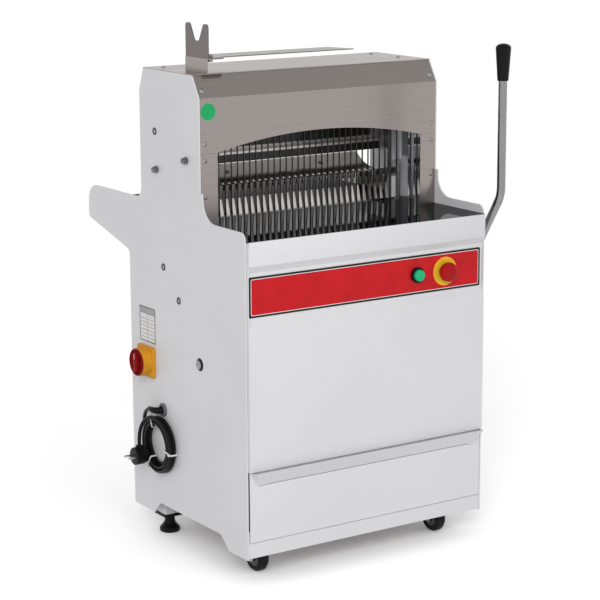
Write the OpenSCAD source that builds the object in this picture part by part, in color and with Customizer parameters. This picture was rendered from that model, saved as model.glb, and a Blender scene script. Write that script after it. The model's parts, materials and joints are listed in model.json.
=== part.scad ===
// Bread slicer: a floor cabinet with two blade frames that saw against each other,
// a lever-driven pusher, a crumb drawer and a bag tray on the hood.
// Millimetres. X runs across the front, Y to the back and Z up from the floor.

/* [Cabinet] */
// Width over the two side panels
body_w = 588; // [570:1:620]
// Depth from the front edge of the side panels to the back edge of the cabinet
body_d = 464; // [450:1:490]
// How far the rear wings reach behind the cabinet
wing_d = 182; // [170:1:200]
// Height of the top edge of the side panels
top_z = 1005; // [995:1:1030]
// Height of the bottom edge of the side panels
skirt_z = 54; // [50:1:58]
// Depth of the cut-away between the feet of a side panel
skirt_notch = 27; // [15:1:27]
// Height of the top edge of the rear wings
wing_top_z = 734; // [725:1:740]
// Depth of a rear wing at its free end
wing_h = 73; // [60:1:76]
// Thickness of the side panels
panel_t = 3; // [2:0.5:4]
// Thickness of the folded sheets
sheet_t = 1.5; // [1:0.1:2]
// Gap between a sheet and the panel beside it
seam = 0.5; // [0.3:0.1:0.8]

/* [Front] */
// How far the front panel stands proud of the side panels
face_proud = 7; // [4:1:9]
// Height of the lower edge of the front panel
panel_low_z = 237; // [236:1:250]
// Lower edge of the pressed band in the front panel
press_low_z = 527; // [500:1:535]
// Upper edge of the pressed band in the front panel
press_top_z = 650; // [640:1:670]
// Depth of the pressed band
press_d = 9; // [5:1:12]
// Height of each slanted edge of the pressed band
press_bevel = 13; // [6:1:16]
// Width of the coloured fascia
fascia_w = 569; // [540:1:575]
// Height of the coloured fascia
fascia_h = 81; // [70:1:92]
// Thickness of the coloured fascia
fascia_t = 1.2; // [0.8:0.1:1.6]

/* [Controls] */
// Distance of the start button from the middle of the machine
start_x = 121; // [90:1:140]
// Distance of the stop button from the middle of the machine
stop_x = 192.5; // [180:0.5:220]
// Diameter of a panel cut-out for a button
button_hole_d = 22.4; // [22:0.1:23]
// Diameter of the start button's bezel
bezel_d = 32; // [30:1:36]
// Diameter of the start button's cap
start_cap_d = 24; // [20:1:25]
// Diameter of the stop button's yellow ring
stop_ring_d = 60; // [55:1:66]
// Diameter of the stop button's mushroom head
mushroom_d = 40; // [35:1:44]
// Travel of the start button
start_travel = 4; // [2:0.5:5]
// Travel of the stop button
stop_travel = 5; // [3:0.5:7]
// Side of the square isolator plate
isolator_w = 66; // [60:1:72]
// Thickness of the isolator plate
isolator_t = 8; // [6:1:12]
// Diameter of the isolator knob
isolator_knob_d = 52; // [48:1:55]

/* [Table and mouth] */
// Height of the table's top face
table_z = 700; // [695:1:706]
// Thickness of the table sheets
table_t = 2.5; // [2:0.1:3]
// How far the shoulder of a side panel rises above the table
shoulder_h = 17; // [12:1:22]
// Height of the table's folded front lip
table_lip = 9; // [6:1:14]
// Distance of the hood's front face behind the side panels' front edge
hood_in = 167; // [155:1:175]
// Depth of the hood between its front and rear faces
hood_d = 240; // [235:1:250]
// Height of the fold between the hood's face and its slanted band
fold_z = 961; // [950:1:975]
// Height of the arch at its ends
arch_low_z = 851; // [835:1:855]
// Rise of the arch in its middle
arch_rise = 29.5; // [10:0.5:32]
// Width of the mouth between the two posts
mouth_w = 503; // [496:1:512]
// Height of the fold where the rear guard steps inward
guard_fold_z = 815; // [812:1:830]

/* [Blades] */
// Number of blades, half of them in each frame
blade_count = 32; // [24:2:32]
// Distance between neighbouring blades
slice_w = 15; // [12:0.5:15]
// Thickness of a blade
blade_t = 0.8; // [0.5:0.1:1]
// Width of a blade from its back to its teeth
blade_w = 5; // [4:0.5:6]
// Distance of the blade plane behind the side panels' front edge
blade_in = 261; // [255:1:265]
// Throw of the crank, half the stroke of a blade frame
throw = 15; // [12:1:16]
// Height of the bottom of the lower blade bars
bar_low_z = 580; // [575:1:590]
// Height of the bottom of the upper blade bars
bar_top_z = 930; // [925:1:935]
// Height of a blade bar
bar_h = 20; // [14:1:24]
// Diameter of the frames' guide rods
guide_d = 10; // [8:0.5:11]

/* [Drive] */
// Height of the crankshaft
crank_z = 330; // [325:1:345]
// Diameter of the crankshaft
crank_d = 25; // [20:1:28]
// Radius of the driven pulley
drive_r = 75; // [65:1:76]
// Radius of the motor pulley
motor_r = 30; // [26:1:34]
// Distance of the motor shaft behind the crankshaft
motor_back = 131; // [126:1:134]
// Height of the motor shaft
motor_z = 305; // [300:1:312]
// Diameter of the motor housing
motor_d = 130; // [110:1:136]

/* [Lever and pusher] */
// Distance of the lever shaft behind the side panels' front edge
pivot_in = 177; // [172:1:182]
// Height of the lever shaft
pivot_z = 421; // [415:1:425]
// Diameter of the lever shaft
pivot_d = 20; // [16:1:22]
// Length of the arms between the lever shaft and the carriage pins
arm_r = 250; // [240:1:252]
// Swing of the lever from the closed to the open end
lever_swing = 62; // [50:1:62]
// Diameter of the lever rod
rod_d = 18; // [14:1:20]
// Distance of the lever rod beside the right side panel
rod_side = 20; // [19:1:24]
// How far the lever's upright part stands ahead of the side panels
lever_lead = 29; // [20:1:40]
// Height of the bend in the lever
bend_z = 739; // [700:1:760]
// Height of the lower end of the grip
grip_low_z = 977; // [940:1:1000]
// Length of the grip
grip_l = 76; // [60:1:110]
// Diameter of the grip at its top
grip_d = 32; // [28:1:36]
// Width of a pusher finger
finger_w = 7.5; // [5:0.5:8]
// Height of the pusher fingers
finger_h = 65; // [60:1:70]

/* [Drawer and undercarriage] */
// Height of the drawer front's lower edge
drawer_low_z = 90; // [89:1:92]
// Height of the drawer front's upper edge
drawer_top_z = 237.5; // [230:0.5:238]
// Height of the leaning lip of the drawer front
lip_h = 32; // [20:1:40]
// How far the lip leans forward
lip_lean = 20; // [10:1:24]
// Inner depth of the crumb tray
tray_d = 370; // [300:1:400]
// Depth of the crumb tray from rim to floor
tray_h = 82; // [60:1:88]
// Diameter of the caster wheels
wheel_d = 60; // [52:1:62]
// Width of the caster wheels
wheel_w = 24; // [18:1:26]
// Distance of a caster's swivel pin from the inside of its side panel
caster_in = 65; // [63:1:76]
// Diameter of a levelling foot
foot_d = 44; // [36:1:50]

/* [Bag tray] */
// Height of the tray above the top cover
tray_lift = 30; // [24:1:40]
// Length of the tray
bag_l = 349; // [300:1:360]
// Width of the tray
bag_w = 64; // [50:1:80]
// Height of the forked end plate
fork_h = 68; // [40:1:80]

/* [Mains lead] */
// Diameter of the lead
cord_d = 8; // [6:0.5:8]
// Radius of the outer turn of the coil, on the lead's middle
coil_r = 62.5; // [58:0.5:64]
// Distance between neighbouring turns
coil_step = 8.7; // [8.5:0.1:9.5]
// Turns in the coil, counted to where it lifts away to the plug
coil_turns = 5; // [3:1:5]

/* [Hidden] */
$fn = 48;
// Allowance that makes a cut pass right through a face
cut = 1;
// Clearance round a piece that turns or slides in a bore
run_gap = 0.05;
// Clearance round a loosely guided piece
slack = 0.3;

// Planes across the machine
hw = body_w / 2;
iw = hw - panel_t;
sw = iw - seam;

// Planes from front to back: the grip is foremost and the wings are rearmost
lead_y = lever_lead + grip_d / 2;
front_y = lead_y - (lead_y + body_d + wing_d) / 2;
back_y = front_y + body_d;
wing_y = back_y + wing_d;
face_y = front_y - face_proud;
press_y = face_y + press_d;
hood_y = front_y + hood_in;
hood_back_y = hood_y + hood_d;
blade_y = front_y + blade_in;
pivot_y = front_y + pivot_in;
a_y = blade_y - throw;
b_y = blade_y + throw;

// Hood
band_run = 26;
rear_band_run = 18;
rear_fold_z = fold_z - 3;
top_front_y = hood_y + band_run;
top_back_y = hood_back_y - rear_band_run;
guard_gap = 1.5;
arch_r = (pow(mouth_w / 2, 2) + pow(arch_rise, 2)) / (2 * arch_rise);
flange_w = 22;
flange_t = 2;
post_step = 9;
post_step_z = 773;
shoulder_r = 44;

// Table
under_z = table_z - table_t;
bed_y = blade_y - 133;
rear_table_y = blade_y + 21;
rear_table_end = wing_y - 8;
rear_rib = 18;
back_drop = 50;
infeed_hw = 250;
guide_end = 40;
outfeed_hw = 270;
wall_top_z = 890;
infeed_low_h = 30;
wall_gap = 12;
beam_slot_low = 46;
beam_slot_top = 82;
blade_slot_w = 4;
blade_slot_side = 17;

// Blade frames
bar_t = 6;
row_gap = 1;
row_back_y = b_y - bar_t / 2 - row_gap;
row_front_y = row_back_y - blade_w;
tang_inset = 2;
guide_x = 260;
frame_post_x = 249.5;
boss_d = guide_d + 5;
boss_h = 30;
upper_rod_z = bar_top_z - 46;
upper_rod_end = bar_top_z + 55;
lower_rod_z = bar_low_z - 100;
lower_rod_end = bar_low_z + bar_h + 72;
ear_t = 8;
plate_t = 3;
bracket_front_y = blade_y - 54;
bracket_back_y = blade_y + 91;
bracket_low_z = upper_rod_z - 94;
low_plate_h = 40;
block_y0 = a_y - 10;
block_y1 = b_y + 5;
end_block_x0 = guide_x - 6;
end_block_x1 = guide_x + 7.5;

// Crank drive
shelf_z = 212;
shelf_t = 3;
shelf_top = shelf_z + shelf_t;
shelf_front_y = blade_y - 59;
stand_x = 35;
stand_w = 20;
stand_half = 28;
disc_x = 80;
disc_w = 15;
disc_d = 2 * throw + 40;
crank_pin_d = 16;
crank_pin_x = disc_x + disc_w + 8;
rod_gap = 0.5;
rod_t = 12;
rod_x = crank_pin_x + rod_gap;
rod_eye_d = 30;
wrist_d = 10;
wrist_z = bar_low_z - 20;
lug_t = 4.5;
pulley_half = 12;
groove_half = 5.5;
groove_d = 9;
motor_y = blade_y + motor_back;
motor_x = 28;
motor_l = 172;
fan_l = 32;
motor_shaft_d = 14;

// Lever and carriage
arm_x = 268.6;
arm_t = 6.4;
arm_w = 22;
arm_inset = 0.7;
arm_eye_d = 30;
arm_lean = lever_swing / 2;
arm_pin_d = 16;
arm_pin_y = pivot_y - arm_r * sin(arm_lean);
arm_pin_z = pivot_z + arm_r * cos(arm_lean);
slot_side_gap = 4;
plate_x = 279;
carriage_t = 6;
carriage_low_z = 612;
carriage_top_z = table_z - 8;
carriage_bar_h = 28;
carriage_front_y = arm_pin_y - 24;
carriage_step_y = arm_pin_y + 134;
beam_y = b_y + 8;
beam_d = 16;
beam_h = 12;
beam_top_z = table_z + finger_h - 1.5;
rail_low_z = carriage_low_z - 6;
rail_wall = 2;
rail_end_y = back_y - 22;
bush_d = 24;
bush_flange_d = 27;
bush_flange_t = 4;
hub_d = 38;
hub_l = 24;
rod_axis_x = hw + rod_side;
lever_bend_r = 60;
weld_l = 6;
weld_swell = 0.6;
lever_bend_y = front_y - lever_lead;
lever_angle = atan2(pivot_y - lever_bend_y, bend_z - pivot_z);
grip_neck_d = rod_d + 5;
grip_cap = 16;
shaft_end_x = rod_axis_x + hub_l / 2 - 4;
finger_t = 1.5;
shield_hw = 228;
shield_run = 72;
shield_rise = 29.5;
shield_end_y = beam_y + beam_d + shield_run;
shield_top_z = beam_top_z + shield_rise;

// Drawer and base
drawer_y = front_y - 2;
drawer_gap = 2.5;
drawer_hw = iw - drawer_gap;
cheek_gap = 2;
tray_t = 1.2;
rail_w = 30;
rail_z = skirt_z + skirt_notch + 1;
rail_top_z = rail_z + rail_w;
runner_t = 3;
runner_w = 25;
tray_low_z = rail_top_z + runner_t;
tray_hw = drawer_hw - drawer_gap;
plinth_low_z = skirt_z + 3;
plinth_top_z = drawer_low_z - 2;
caster_trail = 18;
caster_x = iw - caster_in;
caster_y = front_y + 56;
caster_plate_t = 3;
swivel_pin_d = 12;
fork_t = 3;
fork_gap = 3;
axle_d = 8;
head_d = 46;
foot_x = 249;
foot_in = 393;
foot_y = front_y + foot_in;
foot_block_z = 45;
foot_block = 46;
stud_d = 12;

// Push buttons
switch_l = 36;
switch_gap = 0.2;
stem_l = 20;
start_stem_d = 18;
bezel_h = 7;
bezel_floor = 2;
cap_h = 6;
stop_stem_d = 16;
ring_t = 2;
collar_d = 30;
collar_h = 7;
head_t = 5;
head_rise = 6;

// Fasteners: heights of the hood screws and places on the side panels
screw_x = hw - 13.4;
screw_d = 5;
screw_head_d = 10;
screw_head_h = 3;
nut_h = 5;
hood_screw_z = [table_z + 64, table_z + 137, arch_low_z + 20];
band_screw_z = fold_z + 15;
panel_screws = [[blade_y + 84, bracket_low_z + 89], [blade_y - 3, 539]];
nut_places = [[blade_y + 77, bracket_low_z + 11], [blade_y - 44, bracket_low_z + 43]];
top_screws = [[hw - 33, hood_y + 96], [hw - 33, hood_y + 195]];

// Isolator, gland and coil on the left panel
isolator_in = 393;
isolator_collar_h = 14;
isolator_collar_d = isolator_knob_d + 9;
isolator_y = front_y + isolator_in;
isolator_z = 386;
isolator_reach = rod_side + grip_d / 2;
spindle_d = 8;
gland_y = front_y + 330;
gland_z = 292;
gland_d = 26;
gland_t = 6;
boot_r = 14;
boot_d = cord_d + 6;
coil_y = front_y + 338;
coil_z = 217;
layer_x = [-hw - 5.7, -hw - 5.7 - coil_step];
plug_x = -hw - 34;
plug_neck = 4;
plug_neck_d = 18;
plug_body_d = 38;

// Bag tray
bracket_x = -264;
bracket_y0 = front_y + 182;
bracket_y1 = front_y + 267;
bag_sheet = 2;
cover_z = top_z + sheet_t;
bag_z = cover_z + tray_lift;
bag_y0 = front_y + 191;
bag_x1 = bracket_x + bag_l;
bag_pivot = [bracket_x + 18, front_y + 202];
bolt_d = 8;

// Shapes that several pieces use

module both() {
    children();
    mirror([1, 0, 0]) children();
}

module box(low, high) {
    translate(low) cube(high - low);
}

// Extrudes a Y-Z outline along X
module along_x(x0, x1) {
    translate([x0, 0, 0]) rotate([90, 0, 90]) linear_extrude(x1 - x0) children();
}

// Extrudes an X-Z outline along Y
module along_y(y0, y1) {
    translate([0, y1, 0]) rotate([90, 0, 0]) linear_extrude(y1 - y0) children();
}

module rod_x(x0, x1, y, z, d) {
    translate([x0, y, z]) rotate([0, 90, 0]) cylinder(d = d, h = x1 - x0);
}

module rod_y(x, y0, y1, z, d) {
    translate([x, y0, z]) rotate([-90, 0, 0]) cylinder(d = d, h = y1 - y0);
}

module rod_z(x, y, z0, z1, d) {
    translate([x, y, z0]) cylinder(d = d, h = z1 - z0);
}

// A shallow dome of a given base diameter and height, standing on Z = 0
module dome(d, h) {
    r = (d * d / 4 + h * h) / (2 * h);
    intersection() {
        translate([0, 0, h - r]) sphere(r);
        cylinder(d = d, h = h);
    }
}

function unit(v) = v / norm(v);
function turn(v, a) = [v[0] * cos(a) - v[1] * sin(a), v[0] * sin(a) + v[1] * cos(a)];

// Points of one outline corner, an arc of radius r where r is above zero
function corner(before, at, after, r) =
    r == 0 ? [at] :
    let (
        a = unit(before - at),
        b = unit(after - at),
        half = acos(a * b) / 2,
        centre = at + unit(a + b) * r / sin(half),
        from = at + a * r / tan(half) - centre,
        sweep = (a[0] * b[1] > a[1] * b[0] ? -1 : 1) * (180 - 2 * half)
    )
    [for (i = [0 : 6]) centre + turn(from, sweep * i / 6)];

function flat(c) = [c[0], c[1]];

// Closed outline through corners given as [y, z, radius]
function outline(c) =
    let (n = len(c))
    [for (i = [0 : n - 1]) each corner(flat(c[(i + n - 1) % n]), flat(c[i]), flat(c[(i + 1) % n]), c[i][2])];

// Centre of the gap or blade number i in a row of n, spaced by slice_w
function row_x(i, n) = (i - (n - 1) / 2) * slice_w;

// Casing

side_corners = [
    [front_y, skirt_z, 0],
    [front_y + 72, skirt_z, 0],
    [front_y + 72 + 1.2 * skirt_notch, skirt_z + skirt_notch, 0],
    [back_y - 113, skirt_z + skirt_notch, 0],
    [back_y - 113 + skirt_notch, skirt_z, 0],
    [back_y, skirt_z, 0],
    [back_y, wing_top_z - wing_h - 47, 14],
    [wing_y, wing_top_z - wing_h, 10],
    [wing_y, wing_top_z, 38],
    [hood_back_y, wing_top_z, 22],
    [hood_back_y, rear_fold_z, 0],
    [top_back_y, top_z, 0],
    [top_front_y, top_z, 0],
    [hood_y, fold_z, 0],
    [hood_y, post_step_z, 0],
    [hood_y - post_step, post_step_z, 0],
    [hood_y - post_step, table_z + shoulder_h, shoulder_r],
    [front_y, table_z + shoulder_h, 16]
];

// Angle in the Y-Z plane of the hood's slanted band
band_angle = atan2(top_z - fold_z, band_run);

// Point on the slanted band at a given height
function band_y(z) = hood_y + band_run * (z - fold_z) / (top_z - fold_z);

module screw(length) {
    dome(screw_head_d, screw_head_h);
    translate([0, 0, -length]) cylinder(d = screw_d, h = length);
}

// Puts children on the outer face of the right panel, pointing out along X
module on_panel(place) {
    translate([hw, place[0], place[1]]) rotate([0, 90, 0]) children();
}

module on_hood(z) {
    translate([screw_x, hood_y, z]) rotate([90, 0, 0]) children();
}

module on_band() {
    translate([screw_x, band_y(band_screw_z), band_screw_z]) rotate([band_angle, 0, 0]) children();
}

// The cover's screws; at the left front the bag bracket's own screw takes the place of one
module at_top_screws() {
    for (p = top_screws) translate([p[0], p[1], cover_z]) children();
    translate([-top_screws[1][0], top_screws[1][1], cover_z]) children();
}

module screw_hole() {
    translate([0, 0, -20]) cylinder(d = screw_d + 2 * slack, h = 21);
}

module side_panel() {
    difference() {
        union() {
            along_x(iw, hw) polygon(outline(side_corners));
            box([iw - flange_w, hood_y + sheet_t, table_z + 20],
                [iw + cut, hood_y + sheet_t + flange_t, fold_z - 8]);
        }
        rod_x(iw - cut, hw + cut, pivot_y, pivot_z, bush_d + 2 * run_gap);
        for (p = concat(panel_screws, nut_places)) on_panel(p) screw_hole();
        for (z = hood_screw_z) on_hood(z) screw_hole();
    }
}

module left_side_panel() {
    color("whitesmoke") difference() {
        mirror([1, 0, 0]) side_panel();
        rod_x(-hw - cut, -iw + cut, isolator_y, isolator_z, spindle_d + 8);
        rod_x(-hw - cut, -iw + cut, gland_y, gland_z, cord_d + 4);
    }
}

module right_side_panel() {
    color("whitesmoke") side_panel();
}

front_outer = [
    [face_y, panel_low_z],
    [face_y, press_low_z],
    [press_y, press_low_z + press_bevel],
    [press_y, press_top_z - press_bevel],
    [face_y, press_top_z],
    [face_y, under_z]
];
front_inner = [for (i = [len(front_outer) - 1 : -1 : 0]) front_outer[i] + [sheet_t, 0]];
fascia_z = (press_low_z + press_top_z) / 2;

module button_holes() {
    for (x = [start_x, stop_x]) rod_y(x, face_y - 20, press_y + 20, fascia_z, button_hole_d);
}

module front_panel() {
    color("whitesmoke") difference() {
        union() {
            along_x(-sw, sw) polygon(concat(front_outer, front_inner));
            both() box([sw - sheet_t, face_y + sheet_t, panel_low_z], [sw, front_y + 16, under_z]);
            box([-sw, face_y, under_z - sheet_t], [sw, front_y + 16, under_z]);
            box([-sw, face_y, panel_low_z], [sw, front_y + 16, panel_low_z + sheet_t]);
        }
        button_holes();
    }
}

module control_fascia() {
    w = fascia_w / 2;
    h = fascia_h / 2;
    color("firebrick") difference() {
        along_y(press_y - fascia_t, press_y)
            polygon(outline([
                [-w, fascia_z - h, 3], [w, fascia_z - h, 3], [w, fascia_z + h, 3], [-w, fascia_z + h, 3]
            ]));
        button_holes();
    }
}

module base_frame() {
    front_rail_y = front_y + sheet_t;
    rear_rail_y = back_y - 6;
    color("gainsboro") difference() {
        union() {
            box([-sw, front_y, plinth_low_z], [sw, front_rail_y, plinth_top_z]);
            both() box([iw - rail_w, front_rail_y, rail_z], [iw, rear_rail_y, rail_top_z]);
            for (y = [front_rail_y, rear_rail_y - rail_w])
                box([-iw, y, rail_z], [iw, y + rail_w, rail_top_z]);
            both() {
                box([caster_x - 30, caster_y - 30, rail_z - caster_plate_t], [iw, caster_y + 34, rail_z]);
                rod_z(caster_x, caster_y, rail_z - caster_plate_t, rail_z + 14, swivel_pin_d + 12);
                translate([foot_x - foot_block / 2, foot_y - foot_block / 2, foot_block_z])
                    cube([foot_block, foot_block, rail_z - foot_block_z]);
                box([foot_x - foot_block / 2, foot_y - foot_block / 2, rail_z],
                    [iw, foot_y + foot_block / 2, rail_z + 4]);
            }
        }
        both() {
            rod_z(caster_x, caster_y, rail_z - 10, rail_z + 20, swivel_pin_d + 2 * run_gap);
            rod_z(foot_x, foot_y, foot_block_z - cut, rail_z - 6, stud_d + 2 * run_gap);
        }
    }
}

module back_panel() {
    back_top_z = wing_top_z - wing_h - back_drop;
    color("whitesmoke") {
        box([-sw, back_y - sheet_t - 1, rail_top_z], [sw, back_y - 1, back_top_z]);
    }
}

module front_table() {
    color("silver") {
        box([-sw, face_y - sheet_t, under_z], [sw, bed_y, table_z]);
        box([-sw, face_y - sheet_t, table_z - table_lip], [sw, face_y, table_z]);
    }
}

// The bed is slotted for every blade and for the frames' upright bars
module slotted_bed() {
    color("silver") difference() {
        box([-sw, bed_y, under_z], [sw, rear_table_y, table_z]);
        for (i = [0 : blade_count - 1]) {
            x = row_x(i, blade_count);
            box([x - blade_slot_w / 2, blade_y - blade_slot_side, under_z - cut],
                [x + blade_slot_w / 2, blade_y + blade_slot_side, table_z + cut]);
        }
        both() box([frame_post_x - 5, a_y - bar_t, under_z - cut],
                   [frame_post_x + 5, b_y + bar_t - 2, table_z + cut]);
    }
}

module rear_table() {
    color("silver") {
        box([-infeed_hw, rear_table_y, under_z], [infeed_hw, rear_table_end, table_z]);
        box([-sw, rear_table_end - rear_rib, under_z - rear_rib], [sw, rear_table_end, under_z]);
    }
}

// Mirror-bright walls beside the mouth, and the guides of the infeed behind the blades
module channel_walls() {
    flange_y = rear_table_y;
    low_z = table_z + beam_slot_low;
    guide_x1 = infeed_hw + sheet_t;
    color("silver") both() {
        box([outfeed_hw - sheet_t, hood_y + sheet_t + flange_t, table_z],
            [outfeed_hw, a_y - wall_gap, wall_top_z]);
        box([infeed_hw, flange_y, under_z], [outfeed_hw + 2, flange_y + sheet_t, low_z]);
        box([infeed_hw, flange_y, under_z], [guide_x1, hood_back_y - 3, low_z]);
        box([infeed_hw, flange_y, under_z], [guide_x1, wing_y - guide_end, table_z + infeed_low_h]);
        box([infeed_hw, flange_y, table_z + beam_slot_top], [iw - plate_t, flange_y + sheet_t, wall_top_z]);
    }
}

module top_cover() {
    color("silver") difference() {
        box([-hw, top_front_y - 1, top_z], [hw, top_back_y + 1, cover_z]);
        at_top_screws() screw_hole();
    }
}

module hood_face() {
    color("silver") difference() {
        union() {
            along_y(hood_y, hood_y + sheet_t) difference() {
                translate([-sw, arch_low_z]) square([2 * sw, fold_z - arch_low_z]);
                translate([0, arch_low_z + arch_rise - arch_r]) circle(arch_r, $fn = 180);
            }
            along_x(-sw, sw) polygon([
                [hood_y, fold_z], [hood_y + sheet_t, fold_z],
                [top_front_y + sheet_t, top_z], [top_front_y, top_z]
            ]);
        }
        both() {
            on_hood(hood_screw_z[2]) screw_hole();
            on_band() screw_hole();
        }
    }
}

module hood_posts() {
    color("silver") both() difference() {
        box([mouth_w / 2, hood_y, table_z], [sw, hood_y + sheet_t, arch_low_z - seam]);
        for (z = [hood_screw_z[0], hood_screw_z[1]]) on_hood(z) screw_hole();
    }
}

// The guard steps inward to the rear edge of the pusher's shield, which passes under it
module rear_guard() {
    y = hood_back_y - seam;
    yt = top_back_y - seam;
    low_y = shield_end_y + guard_gap;
    low_z = shield_top_z + guard_gap;
    color("silver") along_x(-sw, sw) polygon([
        [y, guard_fold_z], [y, rear_fold_z], [yt, top_z], [yt - sheet_t, top_z],
        [y - sheet_t, rear_fold_z], [y - sheet_t, guard_fold_z + sheet_t],
        [low_y, guard_fold_z + sheet_t], [low_y, low_z],
        [low_y + sheet_t, low_z], [low_y + sheet_t, guard_fold_z]
    ]);
}

// Drive

module drive_shelf() {
    color("gray") box([-iw, shelf_front_y, shelf_z], [iw, back_y - sheet_t - 1, shelf_top]);
}

module bearing_stands() {
    color("dimgray") both() difference() {
        union() {
            box([stand_x, blade_y - stand_half, shelf_top],
                [stand_x + stand_w, blade_y + stand_half, crank_z]);
            rod_x(stand_x, stand_x + stand_w, blade_y, crank_z, 2 * stand_half);
            box([stand_x - 6, blade_y - stand_half - 12, shelf_top],
                [stand_x + stand_w + 6, blade_y + stand_half + 12, shelf_top + 10]);
        }
        rod_x(stand_x - cut, stand_x + stand_w + cut, blade_y, crank_z, crank_d + 2 * run_gap);
    }
}

module motor() {
    end_x = motor_x + motor_l;
    color("slategray") difference() {
        union() {
            rod_x(motor_x, end_x, motor_y, motor_z, motor_d);
            rod_x(end_x, end_x + fan_l, motor_y, motor_z, motor_d - 8);
            rod_x(motor_x - 8, motor_x, motor_y, motor_z, motor_d - 50);
            for (x = [motor_x + 20, end_x - 50])
                box([x, motor_y - motor_d / 2 + 8, shelf_top], [x + 30, motor_y + motor_d / 2 - 8, motor_z]);
            box([motor_x + 50, motor_y - 40, motor_z],
                [motor_x + 130, motor_y + 40, motor_z + motor_d / 2 + 30]);
        }
        rod_x(motor_x - 9, motor_x + 40, motor_y, motor_z, motor_shaft_d + 2 * run_gap);
    }
}

// Outline of a loop round both pulleys, at the same depth in both grooves
module belt_loop(depth) {
    ra = drive_r - depth;
    rb = motor_r - depth;
    span = [motor_back, motor_z - crank_z];
    lean = acos((ra - rb) / norm(span));
    base = atan2(span[1], span[0]);
    up = turn([1, 0], base + lean);
    down = turn([1, 0], base - lean);
    translate([blade_y, crank_z]) {
        circle(ra, $fn = 96);
        translate(span) circle(rb, $fn = 96);
        polygon([up * ra, down * ra, span + down * rb, span + up * rb]);
    }
}

module drive_belt() {
    half = groove_half - 0.7;
    color("black") along_x(-half, half) difference() {
        belt_loop(1);
        belt_loop(groove_d - 0.5);
    }
}

module pulley(r, bore_d) {
    rotate([0, 90, 0]) rotate_extrude($fn = 96) polygon([
        [bore_d / 2, -pulley_half], [r, -pulley_half], [r, -groove_half], [r - groove_d, -groove_half],
        [r - groove_d, groove_half], [r, groove_half], [r, pulley_half], [bore_d / 2, pulley_half]
    ]);
}

module drive_pulley() {
    color("gray") difference() {
        translate([0, blade_y, crank_z]) pulley(drive_r, crank_d + 2 * run_gap);
        for (i = [0 : 4])
            translate([0, blade_y, crank_z]) rotate([72 * i, 0, 0])
                rod_x(-pulley_half - cut, pulley_half + cut, 0, drive_r * 0.54, drive_r * 0.32);
    }
}

module motor_pulley() {
    color("gray") union() {
        translate([0, motor_y, motor_z]) pulley(motor_r, motor_shaft_d - 1);
        rod_x(-pulley_half - 3, motor_x + 38, motor_y, motor_z, motor_shaft_d);
    }
}

// The pins end just beside the rods' eyes
module crankshaft() {
    color("darkgray") {
        rod_x(-disc_x, disc_x, blade_y, crank_z, crank_d);
        both() rod_x(disc_x, disc_x + disc_w, blade_y, crank_z, disc_d);
        rod_x(-crank_pin_x, -disc_x - disc_w, a_y, crank_z, crank_pin_d);
        rod_x(disc_x + disc_w, crank_pin_x, b_y, crank_z, crank_pin_d);
    }
}

module connecting_rod(x, y) {
    difference() {
        union() {
            rod_x(x, x + rod_t, y, crank_z, rod_eye_d);
            rod_x(x, x + rod_t, y, wrist_z, wrist_d + 14);
            box([x, y - 7, crank_z], [x + rod_t, y + 7, wrist_z]);
        }
        rod_x(x - cut, x + rod_t + cut, y, crank_z, crank_pin_d + 2 * run_gap);
        rod_x(x - cut, x + rod_t + cut, y, wrist_z, wrist_d + 2 * run_gap);
    }
}

module connecting_rod_a() {
    color("darkgray") connecting_rod(-rod_x - rod_t, a_y);
}

module connecting_rod_b() {
    color("darkgray") connecting_rod(rod_x, b_y);
}

// Blade frames

module blade_frame(y, lug_x) {
    difference() {
        union() {
            for (z = [bar_low_z, bar_top_z]) {
                box([-guide_x, y - bar_t / 2, z], [guide_x, y + bar_t / 2, z + bar_h]);
                both() rod_z(guide_x, y, z + bar_h / 2 - boss_h / 2, z + bar_h / 2 + boss_h / 2, boss_d);
            }
            both() box([frame_post_x - 3, y - bar_t / 2, bar_low_z],
                       [frame_post_x + 3, y + bar_t / 2, bar_top_z + bar_h]);
            for (x = [lug_x - lug_t - slack, lug_x + rod_t + slack]) {
                box([x, y - 9, wrist_z], [x + lug_t, y + 9, bar_low_z + 4]);
                rod_x(x, x + lug_t, y, wrist_z, 18);
            }
            rod_x(lug_x - lug_t, lug_x + rod_t + lug_t, y, wrist_z, wrist_d);
        }
        both() for (z = [bar_low_z, bar_top_z])
            rod_z(guide_x, y, z - boss_h, z + bar_h + boss_h, guide_d + 2 * run_gap);
    }
}

// Every second blade of the common row, with a tang at each end that reaches its own frame's bar
module blade_set(first, tang_y0, tang_y1) {
    tang_h = bar_h - 2 * tang_inset;
    for (i = [first : 2 : blade_count - 1]) {
        x0 = row_x(i, blade_count) - blade_t / 2;
        x1 = x0 + blade_t;
        union() {
            box([x0, row_front_y, bar_low_z + tang_inset], [x1, row_back_y, bar_top_z + bar_h - tang_inset]);
            for (z = [bar_low_z + tang_inset, bar_top_z + tang_inset])
                box([x0, tang_y0, z], [x1, tang_y1, z + tang_h]);
        }
    }
}

module blade_frame_a() {
    color("gray") blade_frame(a_y, -rod_x - rod_t);
}

module blade_frame_b() {
    color("gray") blade_frame(b_y, rod_x);
}

module blades_a() {
    color("lightgray") blade_set(0, a_y + bar_t / 2, row_back_y);
}

module blades_b() {
    color("lightgray") blade_set(1, row_front_y, b_y - bar_t / 2);
}

module guide_rods() {
    color("lightgray") both() for (y = [a_y, b_y]) {
        rod_z(guide_x, y, upper_rod_z, upper_rod_end, guide_d);
        rod_z(guide_x, y, lower_rod_z, lower_rod_end, guide_d);
    }
}

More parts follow.
